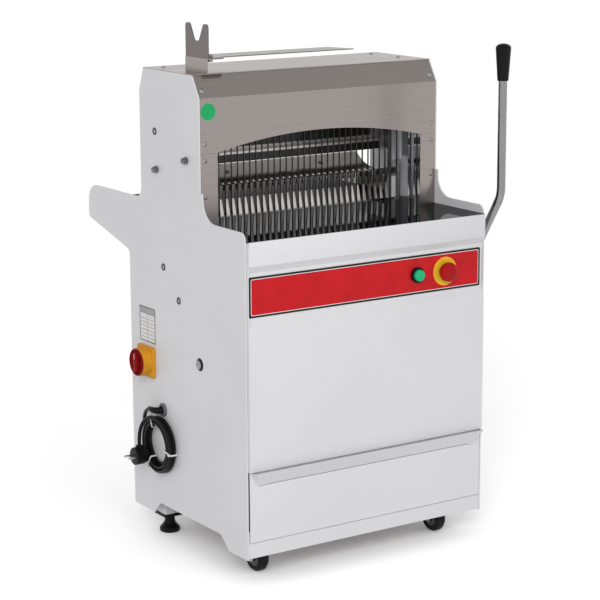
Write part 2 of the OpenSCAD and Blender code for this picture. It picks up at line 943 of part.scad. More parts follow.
module guide_brackets() {
    color("gray") both() difference() {
        union() {
            box([iw - plate_t, bracket_front_y, bracket_low_z], [iw, bracket_back_y, upper_rod_end + ear_t]);
            box([iw - plate_t, block_y0, lower_rod_z - low_plate_h], [iw, block_y1, lower_rod_z]);
        }
        for (p = concat(panel_screws, nut_places)) on_panel(p) screw_hole();
    }
}

// Blocks that hold the ends of the guide rods
module guide_blocks() {
    color("gray") both() {
        for (z = [upper_rod_end, upper_rod_z - ear_t, lower_rod_z - ear_t])
            box([end_block_x0, block_y0, z], [iw - plate_t, block_y1, z + ear_t]);
        box([end_block_x0, block_y0, lower_rod_end], [end_block_x1, block_y1, under_z]);
    }
}

// Lever and pusher

module carriage_rails() {
    x0 = plate_x - slack - rail_wall;
    x1 = plate_x + carriage_t + slack;
    color("gray") both() {
        box([x0, carriage_front_y - 4, rail_low_z], [iw, rail_end_y, rail_low_z + 6 - slack]);
        box([x0, carriage_front_y - 4, rail_low_z], [x0 + rail_wall, rail_end_y, carriage_low_z + 8]);
        box([x1, carriage_front_y - 4, rail_low_z], [x1 + rail_wall, rail_end_y, carriage_low_z + 8]);
    }
}

module pusher_carriage() {
    slot_half = arm_pin_d / 2 + slot_side_gap;
    bar_low = carriage_top_z - carriage_bar_h;
    color("gray") both() difference() {
        union() {
            box([plate_x, carriage_front_y, carriage_low_z],
                [plate_x + carriage_t, carriage_step_y, carriage_top_z]);
            box([plate_x, carriage_front_y, bar_low],
                [plate_x + carriage_t, beam_y + beam_d + 4, carriage_top_z]);
            box([plate_x, beam_y, bar_low], [plate_x + carriage_t, beam_y + beam_d + 4, beam_top_z + 8]);
        }
        box([plate_x - cut, arm_pin_y - slot_half, carriage_low_z + 10],
            [plate_x + carriage_t + cut, arm_pin_y + slot_half, carriage_top_z - 4]);
    }
}

module pusher_beam() {
    color("silver") box([-plate_x, beam_y, beam_top_z - beam_h], [plate_x, beam_y + beam_d, beam_top_z]);
}

// Side outline of a finger: a bent strip whose top lies back on the beam
finger_front = [
    [beam_y - 14, table_z + 2],
    [beam_y - 8, table_z + 36],
    [beam_y - 12, beam_top_z + finger_t],
    [beam_y + beam_d - 2, beam_top_z + finger_t]
];
finger_back = [
    [beam_y + beam_d - 2, beam_top_z],
    [beam_y - 12 + finger_t, beam_top_z],
    [beam_y - 8 + finger_t, table_z + 36],
    [beam_y - 14 + finger_t, table_z + 2]
];

module pusher_fingers() {
    color("gainsboro") for (i = [0 : blade_count]) {
        x = row_x(i, blade_count + 1);
        union() {
            along_x(x - finger_w / 2, x + finger_w / 2) polygon(concat(finger_front, finger_back));
            translate([x, beam_y + beam_d / 2, beam_top_z + finger_t - 0.2]) dome(5, 2.2);
        }
    }
}

// A sheet that curves up from the beam like a slide
shield_angle = 2 * atan2(shield_rise, shield_run);
shield_r = shield_run / sin(shield_angle);
function shield_arc(r) =
    [for (i = [0 : 10]) let (a = shield_angle * i / 10)
        [beam_y + beam_d + r * sin(a), beam_top_z + shield_r - r * cos(a)]];

module shield_outline() {
    lower = shield_arc(shield_r);
    upper = shield_arc(shield_r - sheet_t);
    polygon(concat(lower, [for (i = [10 : -1 : 0]) upper[i]]));
}

module pusher_shield() {
    color("silver") {
        along_x(-shield_hw, shield_hw) shield_outline();
        box([-shield_hw, beam_y + beam_d, beam_top_z - beam_h],
            [shield_hw, beam_y + beam_d + sheet_t, beam_top_z + sheet_t]);
    }
}

module lever_bushes() {
    color("#222222") {
        difference() {
            union() {
                rod_x(iw - 12, hw, pivot_y, pivot_z, bush_d);
                rod_x(hw, hw + bush_flange_t, pivot_y, pivot_z, bush_flange_d);
            }
            rod_x(iw - 20, hw + 20, pivot_y, pivot_z, pivot_d + 2 * run_gap);
        }
        mirror([1, 0, 0]) difference() {
            union() {
                rod_x(iw - 12, hw, pivot_y, pivot_z, bush_d);
                translate([hw, pivot_y, pivot_z]) rotate([0, 90, 0]) dome(bush_flange_d, bush_flange_t);
            }
            rod_x(iw - 20, hw, pivot_y, pivot_z, pivot_d + 2 * run_gap);
        }
    }
}

// The shaft carries one arm at each side, and each arm has a pin in the carriage
module lever_shaft() {
    color("darkgray") {
        rod_x(-hw + slack, shaft_end_x, pivot_y, pivot_z, pivot_d);
        both() {
            rod_x(arm_x - 8, arm_x + arm_t, pivot_y, pivot_z, pivot_d + 18);
            translate([arm_x, pivot_y, pivot_z]) rotate([arm_lean, 0, 0])
                box([arm_inset, -arm_w / 2, pivot_d * 0.7],
                    [arm_t - arm_inset, arm_w / 2, arm_r - arm_pin_d * 0.6]);
            rod_x(arm_x, arm_x + arm_t, arm_pin_y, arm_pin_z, arm_eye_d);
            rod_x(arm_x + arm_t / 2, plate_x + carriage_t + 2, arm_pin_y, arm_pin_z, arm_pin_d);
        }
    }
}

// One bent rod with a hub; a low weld ring joins the lower straight part to the bend
module lever_rod() {
    set_back = lever_bend_r * tan(lever_angle / 2);
    lower_l = norm([pivot_y - lever_bend_y, bend_z - pivot_z]) - set_back;
    upper_l = grip_low_z + grip_l - grip_cap - bend_z - set_back;
    color("lightgray") difference() {
        union() {
            rod_x(rod_axis_x - hub_l / 2, rod_axis_x + hub_l / 2, pivot_y, pivot_z, hub_d);
            translate([rod_axis_x, lever_bend_y + lever_bend_r, bend_z + set_back]) rotate([90, 0, 90])
                rotate([0, 0, 180]) {
                    rotate_extrude(angle = lever_angle) translate([lever_bend_r, 0]) circle(d = rod_d);
                    translate([lever_bend_r, 0, 0]) rotate([90, 0, 0]) cylinder(d = rod_d, h = upper_l);
                    rotate([0, 0, lever_angle]) translate([lever_bend_r, 0, 0]) rotate([-90, 0, 0]) {
                        cylinder(d = rod_d, h = lower_l);
                        translate([0, 0, -weld_l / 2]) cylinder(d = rod_d + weld_swell, h = weld_l);
                    }
                }
        }
        rod_x(rod_axis_x - hub_l, shaft_end_x + slack, pivot_y, pivot_z, pivot_d + 2 * run_gap);
    }
}

module lever_grip() {
    round_r = grip_d / 2;
    color("#1a1a1a") translate([rod_axis_x, lever_bend_y, grip_low_z]) difference() {
        rotate_extrude() polygon(concat(
            [[0, 0], [grip_neck_d / 2, 0], [round_r, grip_l - round_r * 0.6]],
            [for (i = [1 : 8]) [round_r * cos(i * 90 / 8), grip_l - round_r * 0.6 * (1 - sin(i * 90 / 8))]]
        ));
        translate([0, 0, -cut]) cylinder(d = rod_d + 2 * run_gap, h = grip_l - grip_cap + cut + slack);
    }
}

// Controls

module start_bezel() {
    front = press_y - fascia_t;
    color("#333333") difference() {
        union() {
            rod_y(start_x, front - bezel_h, front, fascia_z, bezel_d);
            rod_y(start_x, front, press_y + switch_l, fascia_z, button_hole_d - 2 * switch_gap);
        }
        rod_y(start_x, front - bezel_h - cut, front - bezel_floor, fascia_z, start_cap_d + 2 * slack);
        rod_y(start_x, front - bezel_h, press_y + stem_l, fascia_z, start_stem_d + 2 * slack);
    }
}

module start_button() {
    back = press_y - fascia_t - bezel_floor - start_travel - slack;
    color("seagreen") union() {
        rod_y(start_x, back - cap_h, back, fascia_z, start_cap_d);
        rod_y(start_x, back - cut, press_y + stem_l - start_travel - slack, fascia_z, start_stem_d);
        translate([start_x, back - cap_h, fascia_z]) rotate([90, 0, 0]) dome(start_cap_d, 1.5);
    }
}

module stop_ring() {
    front = press_y - fascia_t;
    color("gold") difference() {
        union() {
            rod_y(stop_x, front - ring_t, front, fascia_z, stop_ring_d);
            rod_y(stop_x, front - collar_h, front, fascia_z, collar_d);
            rod_y(stop_x, front, press_y + switch_l, fascia_z, button_hole_d - 2 * switch_gap);
        }
        rod_y(stop_x, front - collar_h - cut, press_y + stem_l, fascia_z, stop_stem_d + 2 * slack);
    }
}

// A cup over the collar, deep enough to be pushed in without touching the ring
module stop_button() {
    front = press_y - fascia_t;
    rim = front - ring_t - stop_travel - cut;
    floor_y = front - collar_h - stop_travel - cut;
    color("firebrick") difference() {
        union() {
            rod_y(stop_x, floor_y - head_t, rim, fascia_z, mushroom_d);
            translate([stop_x, floor_y - head_t, fascia_z]) rotate([90, 0, 0]) dome(mushroom_d, head_rise);
        }
        difference() {
            rod_y(stop_x, floor_y, rim + cut, fascia_z, collar_d + 2);
            rod_y(stop_x, floor_y - cut, rim + 2 * cut, fascia_z, stop_stem_d);
        }
    }
    color("firebrick")
        rod_y(stop_x, rim, press_y + stem_l - stop_travel - slack, fascia_z, stop_stem_d);
}

module isolator_plate() {
    h = isolator_w / 2;
    x = -hw - isolator_t;
    color("goldenrod") difference() {
        union() {
            along_x(x, -hw) polygon(outline([
                [isolator_y - h, isolator_z - h, 5], [isolator_y + h, isolator_z - h, 5],
                [isolator_y + h, isolator_z + h, 5], [isolator_y - h, isolator_z + h, 5]
            ]));
            rod_x(x - isolator_collar_h, x + cut, isolator_y, isolator_z, isolator_collar_d);
            rod_x(-hw, -iw + 40, isolator_y, isolator_z, spindle_d + 7);
        }
        rod_x(x - isolator_collar_h - cut, x, isolator_y, isolator_z, isolator_knob_d + 2 * slack);
        rod_x(-hw - isolator_t - cut, -iw + 30, isolator_y, isolator_z, spindle_d + 2 * run_gap);
    }
}

module isolator_knob() {
    x = -hw - isolator_t - slack;
    color("darkred") {
        rod_x(-hw - isolator_reach + 12, x, isolator_y, isolator_z, isolator_knob_d);
        along_x(-hw - isolator_reach, -hw - isolator_reach + 13) polygon(outline([
            [isolator_y - 9, isolator_z - isolator_knob_d / 2 + 2, 4],
            [isolator_y + 9, isolator_z - isolator_knob_d / 2 + 2, 4],
            [isolator_y + 9, isolator_z + isolator_knob_d / 2 - 2, 4],
            [isolator_y - 9, isolator_z + isolator_knob_d / 2 - 2, 4]
        ]));
        rod_x(x - cut, -iw + 24, isolator_y, isolator_z, spindle_d);
    }
}

// Drawer, base and feet

module drawer_front() {
    y1 = drawer_y + sheet_t;
    lean_z = drawer_top_z - lip_h;
    cheek_z = panel_low_z - cheek_gap;
    color("whitesmoke") {
        along_x(-drawer_hw, drawer_hw) polygon([
            [drawer_y, drawer_low_z], [y1, drawer_low_z], [y1, lean_z],
            [y1 - lip_lean, drawer_top_z], [drawer_y - lip_lean, drawer_top_z], [drawer_y, lean_z]
        ]);
        both() along_x(drawer_hw - sheet_t, drawer_hw) polygon([
            [y1, lean_z], [y1, cheek_z], [y1 - lip_lean * (cheek_z - lean_z) / lip_h, cheek_z]
        ]);
    }
}

module crumb_tray() {
    y0 = drawer_y + sheet_t;
    color("silver") difference() {
        box([-tray_hw, y0, tray_low_z], [tray_hw, y0 + tray_d, tray_low_z + tray_h]);
        box([-tray_hw + tray_t, y0 + tray_t, tray_low_z + tray_t],
            [tray_hw - tray_t, y0 + tray_d - tray_t, tray_low_z + tray_h + cut]);
    }
}

module drawer_runners() {
    color("gray") both() {
        box([iw - runner_w, front_y + 8, rail_top_z], [iw, front_y + tray_d, tray_low_z]);
    }
}

module levelling_feet() {
    neck_z = foot_block_z;
    color("#222222") both() translate([foot_x, foot_y, 0]) {
        rotate_extrude() polygon([
            [0, 0], [foot_d / 2 - 2, 0], [foot_d / 2, 2], [foot_d / 2, 9], [foot_d / 2 - 3, 12],
            [13, 19], [11, 26], [11, neck_z], [stud_d / 2, neck_z],
            [stud_d / 2, neck_z + 22], [0, neck_z + 22]
        ]);
    }
}

module caster_fork() {
    cheek_x = wheel_w / 2 + fork_gap;
    head_z = rail_z - caster_plate_t - 8;
    axle_z = wheel_d / 2;
    color("dimgray") {
        rod_z(0, 0, head_z, head_z + 8 - slack, head_d);
        rod_z(0, 0, head_z, rail_z + 12, swivel_pin_d);
        both() along_x(cheek_x, cheek_x + fork_t) polygon(outline([
            [-13, head_z + 4, 0], [caster_trail - 8, axle_z - 9, 7],
            [caster_trail + 9, axle_z - 7, 7], [16, head_z + 4, 0]
        ]));
        rod_x(-cheek_x - fork_t, cheek_x + fork_t, caster_trail, axle_z, axle_d);
    }
}

module caster_wheel() {
    hub_half = wheel_w / 2 + fork_gap - slack;
    r = wheel_d / 2;
    w = wheel_w / 2;
    color("#1c1c1c") translate([0, caster_trail, r]) rotate([0, 90, 0]) rotate_extrude($fn = 64) polygon([
        [axle_d / 2 + run_gap, -hub_half], [9, -hub_half], [9, -w + 3], [r - 11, -w + 3], [r - 9, -w],
        [r - 4, -w], [r, -w + 5], [r, w - 5], [r - 4, w], [r - 9, w], [r - 11, w - 3], [9, w - 3],
        [9, hub_half], [axle_d / 2 + run_gap, hub_half]
    ]);
}

module caster_fork_left() {
    translate([-caster_x, caster_y, 0]) caster_fork();
}

module caster_wheel_left() {
    translate([-caster_x, caster_y, 0]) caster_wheel();
}

module caster_fork_right() {
    translate([caster_x, caster_y, 0]) caster_fork();
}

module caster_wheel_right() {
    translate([caster_x, caster_y, 0]) caster_wheel();
}

// Fasteners

module casing_screws() {
    color("lightgray") {
        both() {
            for (z = hood_screw_z) on_hood(z) screw(sheet_t + flange_t + 4);
            on_band() screw(sheet_t + 6);
            for (p = panel_screws) on_panel(p) screw(panel_t + 8);
        }
        at_top_screws() screw(8);
    }
}

module cap_nuts() {
    color("lightgray") both() for (p = nut_places) on_panel(p) {
        cylinder(d = 15, h = nut_h, $fn = 6);
        translate([0, 0, nut_h]) dome(12, 3);
        translate([0, 0, -panel_t - 8]) cylinder(d = screw_d, h = panel_t + 8);
    }
}

// Bag tray on the hood

module bag_bracket() {
    x1 = bracket_x + bag_sheet;
    color("silver") {
        box([bracket_x, bracket_y0, cover_z], [x1, bracket_y1, bag_z]);
        box([bracket_x, bracket_y0, cover_z], [bracket_x + 42, bracket_y1, cover_z + bag_sheet]);
        box([bracket_x, bracket_y0, bag_z - bag_sheet], [bracket_x + 40, bracket_y1, bag_z]);
        rod_z(bag_pivot[0], bag_pivot[1], bag_z - 1, bag_z + bag_sheet + 2, bolt_d);
        translate([bag_pivot[0], bag_pivot[1], bag_z + bag_sheet + slack]) cylinder(d = 15, h = 5, $fn = 6);
        translate([bag_pivot[0], bag_pivot[1], bag_z - bag_sheet - 6]) cylinder(d = 15, h = 6, $fn = 6);
        translate([bracket_x + 24, bracket_y1 - 8, cover_z + bag_sheet]) dome(screw_head_d, screw_head_h);
    }
}

module bag_tray() {
    bag_y1 = bag_y0 + bag_w;
    y0 = bracket_y0 - 5;
    y1 = bracket_y1 - 2;
    top = bag_z + fork_h;
    mid = (y0 + y1) / 2;
    color("silver") difference() {
        union() {
            translate([0, 0, bag_z]) linear_extrude(bag_sheet) polygon([
                [bracket_x, y0], [bracket_x + 30, y0], [bracket_x + 44, bag_y0], [bag_x1 + 10, bag_y0],
                [bag_x1 - 12, bag_y1], [bracket_x + 44, bag_y1], [bracket_x + 30, y1], [bracket_x, y1]
            ]);
            along_x(bracket_x, bracket_x + bag_sheet) polygon(outline([
                [y0, bag_z, 0], [y1, bag_z, 0], [y1, top, 7], [y1 - 18, top, 7],
                [mid + 8, top - fork_h / 2, 5], [mid - 8, top - fork_h / 2, 5],
                [y0 + 18, top, 7], [y0, top, 7]
            ]));
        }
        rod_z(bag_pivot[0], bag_pivot[1], bag_z - cut, bag_z + bag_sheet + cut, bolt_d + 2 * slack);
    }
}

// Mains lead: it leaves an elbow boot, winds in and out in two layers and ends in the plug

module cable_gland() {
    x = -hw - gland_t;
    color("dimgray") difference() {
        union() {
            rod_x(x, -hw, gland_y, gland_z, gland_d);
            rod_x(-hw, -iw + 10, gland_y, gland_z, cord_d + 3.6);
            translate([x, gland_y + boot_r, gland_z]) rotate([0, 0, 180]) rotate_extrude(angle = 90)
                translate([boot_r, 0]) circle(d = boot_d);
        }
        rod_x(x + 2, -iw + 20, gland_y, gland_z, cord_d);
    }
}

// Smooth step from 0 to 1
function ease(t) = let (c = min(max(t, 0), 1)) c * c * (3 - 2 * c);

ring_sides = 6;
rings_per_turn = 24;
// Quarter of a turn that leads from the boot down to the outer turn
lead_in = 0.25;
// Turn at which the lead starts to lift off the coil, and the turn at which it meets the plug
lift_turn = coil_turns - 0.3;
tail_turn = coil_turns - 0.05;
tail_r = 40;
last_turn = coil_turns + 0.25;
// Half the stretch of a turn in which the lead climbs to the second layer
climb_half = 0.25;
middle_turn = (coil_turns + lead_in) / 2;

boot_end = [-hw - gland_t - boot_r, gland_y + boot_r, gland_z];
lead_start = boot_end + [0, cord_d, 0];
start_r = norm([lead_start[1] - coil_y, lead_start[2] - coil_z]);
start_turn = atan2(lead_start[1] - coil_y, lead_start[2] - coil_z) / 360;

function spiral_r(t) = coil_r - coil_step * max(min(t - lead_in, coil_turns - t), 0);
function lead_part(t) = ease((t - start_turn) / (lead_in - start_turn));
function wound_r(t) =
    t < lead_in ? start_r + (coil_r - start_r) * lead_part(t)
    : spiral_r(t) + (tail_r - spiral_r(t)) * ease((t - tail_turn) / (last_turn - tail_turn));
function wound_x(t) =
    let (
        first = layer_x[0] + (boot_end[0] - layer_x[0]) * (1 - lead_part(t)),
        second = layer_x[1] + (plug_x - layer_x[1]) * ease((t - lift_turn) / (last_turn - lift_turn)),
        climbed = ease((t - middle_turn + climb_half) / (2 * climb_half))
    )
    first + (second - first) * climbed;
function coil_point(t) =
    [wound_x(t), coil_y + wound_r(t) * sin(360 * t), coil_z + wound_r(t) * cos(360 * t)];

wound_points = [for (i = [1 : rings_per_turn * last_turn]) coil_point(i / rings_per_turn)];
tail_end = wound_points[len(wound_points) - 1] - [0, 0, cord_d];
route = concat([boot_end, lead_start], wound_points, [tail_end]);

// Least gap between stretches of the lead that are not next to each other
function least_gap() = min([
    for (i = [0 : len(route) - 13]) for (j = [i + 12 : len(route) - 1]) norm(route[i] - route[j])
]) - cord_d;

function heading(i) =
    i == 0 ? [0, 1, 0] :
    i == 1 ? [0, 1, 0] :
    i >= len(route) - 2 ? [0, 0, -1] :
    unit(route[i + 1] - route[i - 1]);

function ring(i) =
    let (
        along = heading(i),
        side = unit(cross(along, [1, 0, 0])),
        out = cross(along, side)
    )
    [for (k = [0 : ring_sides - 1]) let (a = 360 * k / ring_sides)
        route[i] + (side * cos(a) + out * sin(a)) * cord_d / 2];

module cord_coil() {
    n = len(route);
    m = ring_sides;
    echo(least_gap_of_the_lead = least_gap(), rings = n);
    color("#151515") polyhedron(
        points = [for (i = [0 : n - 1]) each ring(i)],
        faces = concat(
            [for (k = [1 : m - 2]) [0, k, k + 1]],
            [for (k = [1 : m - 2]) [(n - 1) * m, (n - 1) * m + k + 1, (n - 1) * m + k]],
            [for (i = [0 : n - 2]) for (k = [0 : m - 1]) [i * m + k, (i + 1) * m + k, i * m + (k + 1) % m]],
            [for (i = [0 : n - 2]) for (k = [0 : m - 1])
                [i * m + (k + 1) % m, (i + 1) * m + k, (i + 1) * m + (k + 1) % m]]
        )
    );
}

module mains_plug() {
    p = tail_end;
    body_z = p[2] - plug_neck - plug_body_d / 2;
    color("#1a1a1a") {
        rod_z(p[0], p[1], body_z, p[2], plug_neck_d);
        rod_x(p[0] - 14, p[0] + 13, p[1], body_z, plug_body_d);
        for (s = [-1, 1]) rod_x(p[0] - 33, p[0] - 13, p[1] + 9.5 * s, body_z, 4.8);
    }
}

left_side_panel();
right_side_panel();
front_panel();
control_fascia();
base_frame();
back_panel();
front_table();
slotted_bed();
rear_table();
channel_walls();
top_cover();
hood_face();
hood_posts();
rear_guard();
drive_shelf();
bearing_stands();
motor();
drive_belt();
guide_rods();
guide_brackets();
guide_blocks();
carriage_rails();
lever_bushes();
drawer_runners();
levelling_feet();
isolator_plate();
cable_gland();
casing_screws();
cap_nuts();
start_bezel();
stop_ring();
start_button();
stop_button();
isolator_knob();
drawer_front();
crumb_tray();
blade_frame_a();
blades_a();
blade_frame_b();
blades_b();
connecting_rod_a();
connecting_rod_b();
crankshaft();
drive_pulley();
motor_pulley();
pusher_beam();
pusher_fingers();
pusher_shield();
pusher_carriage();
lever_shaft();
lever_rod();
lever_grip();
caster_fork_left();
caster_wheel_left();
caster_fork_right();
caster_wheel_right();
bag_bracket();
bag_tray();
cord_coil();
mains_plug();
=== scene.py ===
"""Dresses the bread slicer: finishes for its solids, and the fine pieces that they lack.

Sizes are in millimetres until a piece is finished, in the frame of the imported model:
X to the right, Y from front to back, Z up from the floor.
"""

import json
import logging
import math
from dataclasses import dataclass
from enum import Enum
from typing import Iterable, Sequence

import bmesh
import bpy
from mathutils import Matrix, Vector


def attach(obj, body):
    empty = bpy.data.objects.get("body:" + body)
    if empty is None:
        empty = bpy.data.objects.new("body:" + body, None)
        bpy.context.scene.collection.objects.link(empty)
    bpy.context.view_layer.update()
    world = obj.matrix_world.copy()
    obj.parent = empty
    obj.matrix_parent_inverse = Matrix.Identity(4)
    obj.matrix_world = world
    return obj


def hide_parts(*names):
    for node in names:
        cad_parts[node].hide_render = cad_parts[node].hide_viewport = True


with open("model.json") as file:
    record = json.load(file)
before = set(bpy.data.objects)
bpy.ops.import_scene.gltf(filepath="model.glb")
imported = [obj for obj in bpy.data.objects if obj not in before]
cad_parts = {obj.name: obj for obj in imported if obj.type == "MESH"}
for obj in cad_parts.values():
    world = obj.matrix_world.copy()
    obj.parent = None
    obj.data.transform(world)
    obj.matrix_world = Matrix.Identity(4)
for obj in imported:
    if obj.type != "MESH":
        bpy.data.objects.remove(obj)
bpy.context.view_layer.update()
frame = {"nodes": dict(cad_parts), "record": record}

LOG = logging.getLogger("bread_slicer")
MM = 0.001
HALF_W = 294.0
FRONT_Y = -300.5
HOOD_Y = -133.5
COVER_Z = 1006.5
SIDES = (-1, 1)
TONE_STOPS = (0.3, 0.7)
NOISE_REACH = (0.25, 0.75)
STREAKS_ACROSS = 420.0
STREAKS_ALONG = 5.0
STREAK_DETAIL = 4.0
FINE_DETAIL = 2.0
CORNER_STEPS = 6
RIM_ANGLE = 1.2
SQUARE_ON = 0.9
HEX_SIDES = 6
MERGE = 1e-4
SLIVER = 1e-5
TINY = 1e-6

Point = Sequence[float]
Colour = tuple[float, float, float]
Pair = tuple[float, float]
Section = Sequence[Pair]
Spots = tuple[Pair, ...]
Socket = bpy.types.NodeSocket


def depth(value: float) -> float:
    """Gives the Y of a distance behind the side panels' front edge."""
    return FRONT_Y + value


def ease(value: float) -> float:
    """Gives a smooth step from 0 to 1."""
    held = min(max(value, 0.0), 1.0)
    return held * held * (3.0 - 2.0 * held)


class Axis(Enum):
    """A direction of the frame."""

    X = 0
    Y = 1
    Z = 2


class Facing(Enum):
    """Which way the top of a turned piece looks, as a rotation from +Z."""

    UP = (0.0, 0.0, 0.0)
    FRONT = (math.pi / 2, 0.0, 0.0)
    LEFT = (0.0, -math.pi / 2, 0.0)
    RIGHT = (0.0, math.pi / 2, 0.0)

    def at(self, point: Point) -> Matrix:
        """Gives the matrix that puts a turned piece's foot on a point."""
        turns = [Matrix.Rotation(angle, 4, name) for angle, name in zip(self.value, "XYZ")]
        return Matrix.Translation(Vector(point)) @ turns[2] @ turns[1] @ turns[0]


class Maths(Enum):
    """What a maths node does, by its name in Blender."""

    ABSOLUTE = "ABSOLUTE"
    MULTIPLY = "MULTIPLY"
    MULTIPLY_ADD = "MULTIPLY_ADD"
    MINIMUM = "MINIMUM"
    MAXIMUM = "MAXIMUM"


class Wiring:
    """A node tree that is being wired."""

    def __init__(self, tree: bpy.types.NodeTree) -> None:
        """Starts from an empty tree."""
        self.tree = tree
        tree.nodes.clear()

    def feed(self, target: Socket, value: Socket | float | Point) -> None:
        """Joins a source to a socket, or sets a constant on it.

        Args:
            target: The socket that takes the value.
            value: A source or a constant.
        """
        if isinstance(value, bpy.types.NodeSocket):
            self.tree.links.new(value, target)
        else:
            target.default_value = value

    def add(self, kind: str, *ordered: Socket | float,
            **named: Socket | float | Point) -> bpy.types.Node:
        """Adds a node.

        Args:
            kind: Type of the node, without its prefix.
            ordered: Sources or constants of its first inputs.
            named: Sources or constants of its inputs by name, with _ for a space.

        Returns:
            The node.
        """
        node = self.tree.nodes.new(f"ShaderNode{kind}")
        for i, value in enumerate(ordered):
            self.feed(node.inputs[i], value)
        for name, value in named.items():
            self.feed(node.inputs[name.replace("_", " ")], value)
        return node

    def maths(self, operation: Maths, *values: Socket | float) -> Socket:
        """Adds a maths node.

        Args:
            operation: What it does.
            values: Sources or constants.

        Returns:
            Its result.
        """
        node = self.add("Math", *values)
        node.operation = operation.value
        return node.outputs["Value"]

    def spread(self, value: Socket, start: float, end: float,
               low: float = 0.0, high: float = 1.0) -> Socket:
        """Maps one range of values on another.

        Args:
            value: The value to map.
            start: Value that gives the first end.
            end: Value that gives the second end.
            low: Result at the first end.
            high: Result at the second end.

        Returns:
            The mapped value.
        """
        node = self.add("MapRange", Value=value, From_Min=start, From_Max=end,
                        To_Min=low, To_Max=high)
        return node.outputs["Result"]


class Graph(Wiring):
    """A material's node tree with a principled shader."""

    def __init__(self, name: str) -> None:
        """Makes a material with a bare shader.

        Args:
            name: The material's name.
        """
        self.material = bpy.data.materials.new(name)
        self.material.use_nodes = True
        super().__init__(self.material.node_tree)
        self.shader = self.add("BsdfPrincipled")
        self.add("OutputMaterial", Surface=self.shader.outputs["BSDF"])
        self.coords = self.add("TexCoord").outputs

    def set(self, **values: float | Colour) -> None:
        """Sets constant values on the shader's own sockets.

        Args:
            values: The constants by socket, with _ for a space.
        """
        for name, value in values.items():
            socket = self.shader.inputs[name.replace("_", " ")]
            socket.default_value = (*value, 1.0) if isinstance(value, tuple) else value

    def noise(self, scale: float | Point, detail: float = 3.0) -> Socket:
        """Adds a noise on object coordinates.

        Args:
            scale: Features per metre, alike or along X, Y and Z.
            detail: Octaves of the noise.

        Returns:
            The noise's value.
        """
        sizes = (scale,) * 3 if isinstance(scale, float) else scale
        stretched = self.add("Mapping", Vector=self.coords["Object"], Scale=sizes)
        pattern = self.add("TexNoise", Vector=stretched.outputs["Vector"], Scale=1.0, Detail=detail)
        return pattern.outputs["Fac"]

    def facing(self, axis: Axis) -> Socket:
        """Gives how far a face looks along an axis, from -1 to 1."""
        return self.add("SeparateXYZ", Vector=self.coords["Normal"]).outputs[axis.name]

    def across(self, axis: Axis, noise: Socket, share: float) -> Socket:
        """Gives a value that is high on faces square to an axis.

        Args:
            axis: The axis.
            noise: A noise that breaks the value up.
            share: How much of the noise is added.

        Returns:
            The value, from about 0 to 1.
        """
        square = self.maths(Maths.ABSOLUTE, self.facing(axis))
        return self.maths(Maths.MULTIPLY_ADD, noise, share, square)

    def outward(self, axis: Axis, level: float, value: Socket) -> Socket:
        """Lifts a value on faces that look along an axis.

        Args:
            axis: The axis.
            level: The least value on a face square to the axis.
            value: The value to lift.

        Returns:
            The lifted value.
        """
        return self.maths(Maths.MAXIMUM, value,
                          self.maths(Maths.MULTIPLY, self.facing(axis), level))

    def band(self, low: float, high: float, blur: float, noise: Socket) -> Socket:
        """Gives a value that is high between two heights.

        Args:
            low: Lower edge of the band in metres.
            high: Upper edge of the band in metres.
            blur: Depth over which an edge fades.
            noise: A noise that makes the edges uneven.

        Returns:
            The value, from 0 to 1.
        """
        height = self.add("SeparateXYZ", Vector=self.coords["Object"]).outputs["Z"]
        uneven = self.maths(Maths.MULTIPLY_ADD, noise, blur / 2, height)
        return self.maths(Maths.MINIMUM, self.spread(uneven, low, low + blur),
                          self.spread(uneven, high, high - blur))

    def tint(self, value: Socket, dark: Colour, light: Colour) -> None:
        """Colours the shader between two tones.

        Args:
            value: What chooses the tone.
            dark: Tone at the low end.
            light: Tone at the high end.
        """
        ramp = self.add("ValToRGB", Fac=value)
        for stop, place, tone in zip(ramp.color_ramp.elements, TONE_STOPS, (dark, light)):
            stop.position = place
            stop.color = (*tone, 1.0)
        self.feed(self.shader.inputs["Base Color"], ramp.outputs["Color"])

    def cloud(self, value: Socket, colour: Colour, dark: float, light: float) -> None:
        """Colours the shader round one tone.

        Args:
            value: What chooses the tone.
            colour: The tone.
            dark: Its factor at the low end.
            light: Its factor at the high end.
        """
        self.tint(value, shade(colour, dark), shade(colour, light))

    def gloss(self, value: Socket, roughness: float, below: float, above: float) -> None:
        """Varies the roughness round one level.

        Args:
            value: What chooses the roughness.
            roughness: The level.
            below: How far it falls.
            above: How far it rises.
        """
        uneven = self.spread(value, *NOISE_REACH, roughness - below, roughness + above)
        self.feed(self.shader.inputs["Roughness"], uneven)

    def bump(self, value: Socket, strength: float, height: float) -> None:
        """Roughens the surface.

        Args:
            value: Height of the relief.
            strength: Share of the relief that shows.
            height: Depth of the relief in metres.
        """
        relief = self.add("Bump", Strength=strength, Distance=height, Height=value)
        self.feed(self.shader.inputs["Normal"], relief.outputs["Normal"])


def shade(colour: Colour, factor: float) -> Colour:
    """Gives a colour made darker or lighter by a factor."""
    return tuple(min(part * factor, 1.0) for part in colour)


@dataclass(frozen=True)
class PowderCoat:
    """Baked paint with a fine orange-peel grain and faint clouding."""

    name: str
    colour: Colour
    roughness: float = 0.42
    clouds: float = 3.0
    tones: Pair = (0.975, 1.015)
    smears: float = 28.0
    spread: Pair = (0.04, 0.05)
    peel: float = 620.0
    relief: Pair = (0.12, 0.0002)

    def build(self) -> bpy.types.Material:
        """Makes the material.

        Returns:
            The material.
        """
        graph = Graph(self.name)
        graph.cloud(graph.noise(self.clouds), self.colour, *self.tones)
        graph.gloss(graph.noise(self.smears), self.roughness, *self.spread)
        graph.bump(graph.noise(self.peel, FINE_DETAIL), *self.relief)
        return graph.material


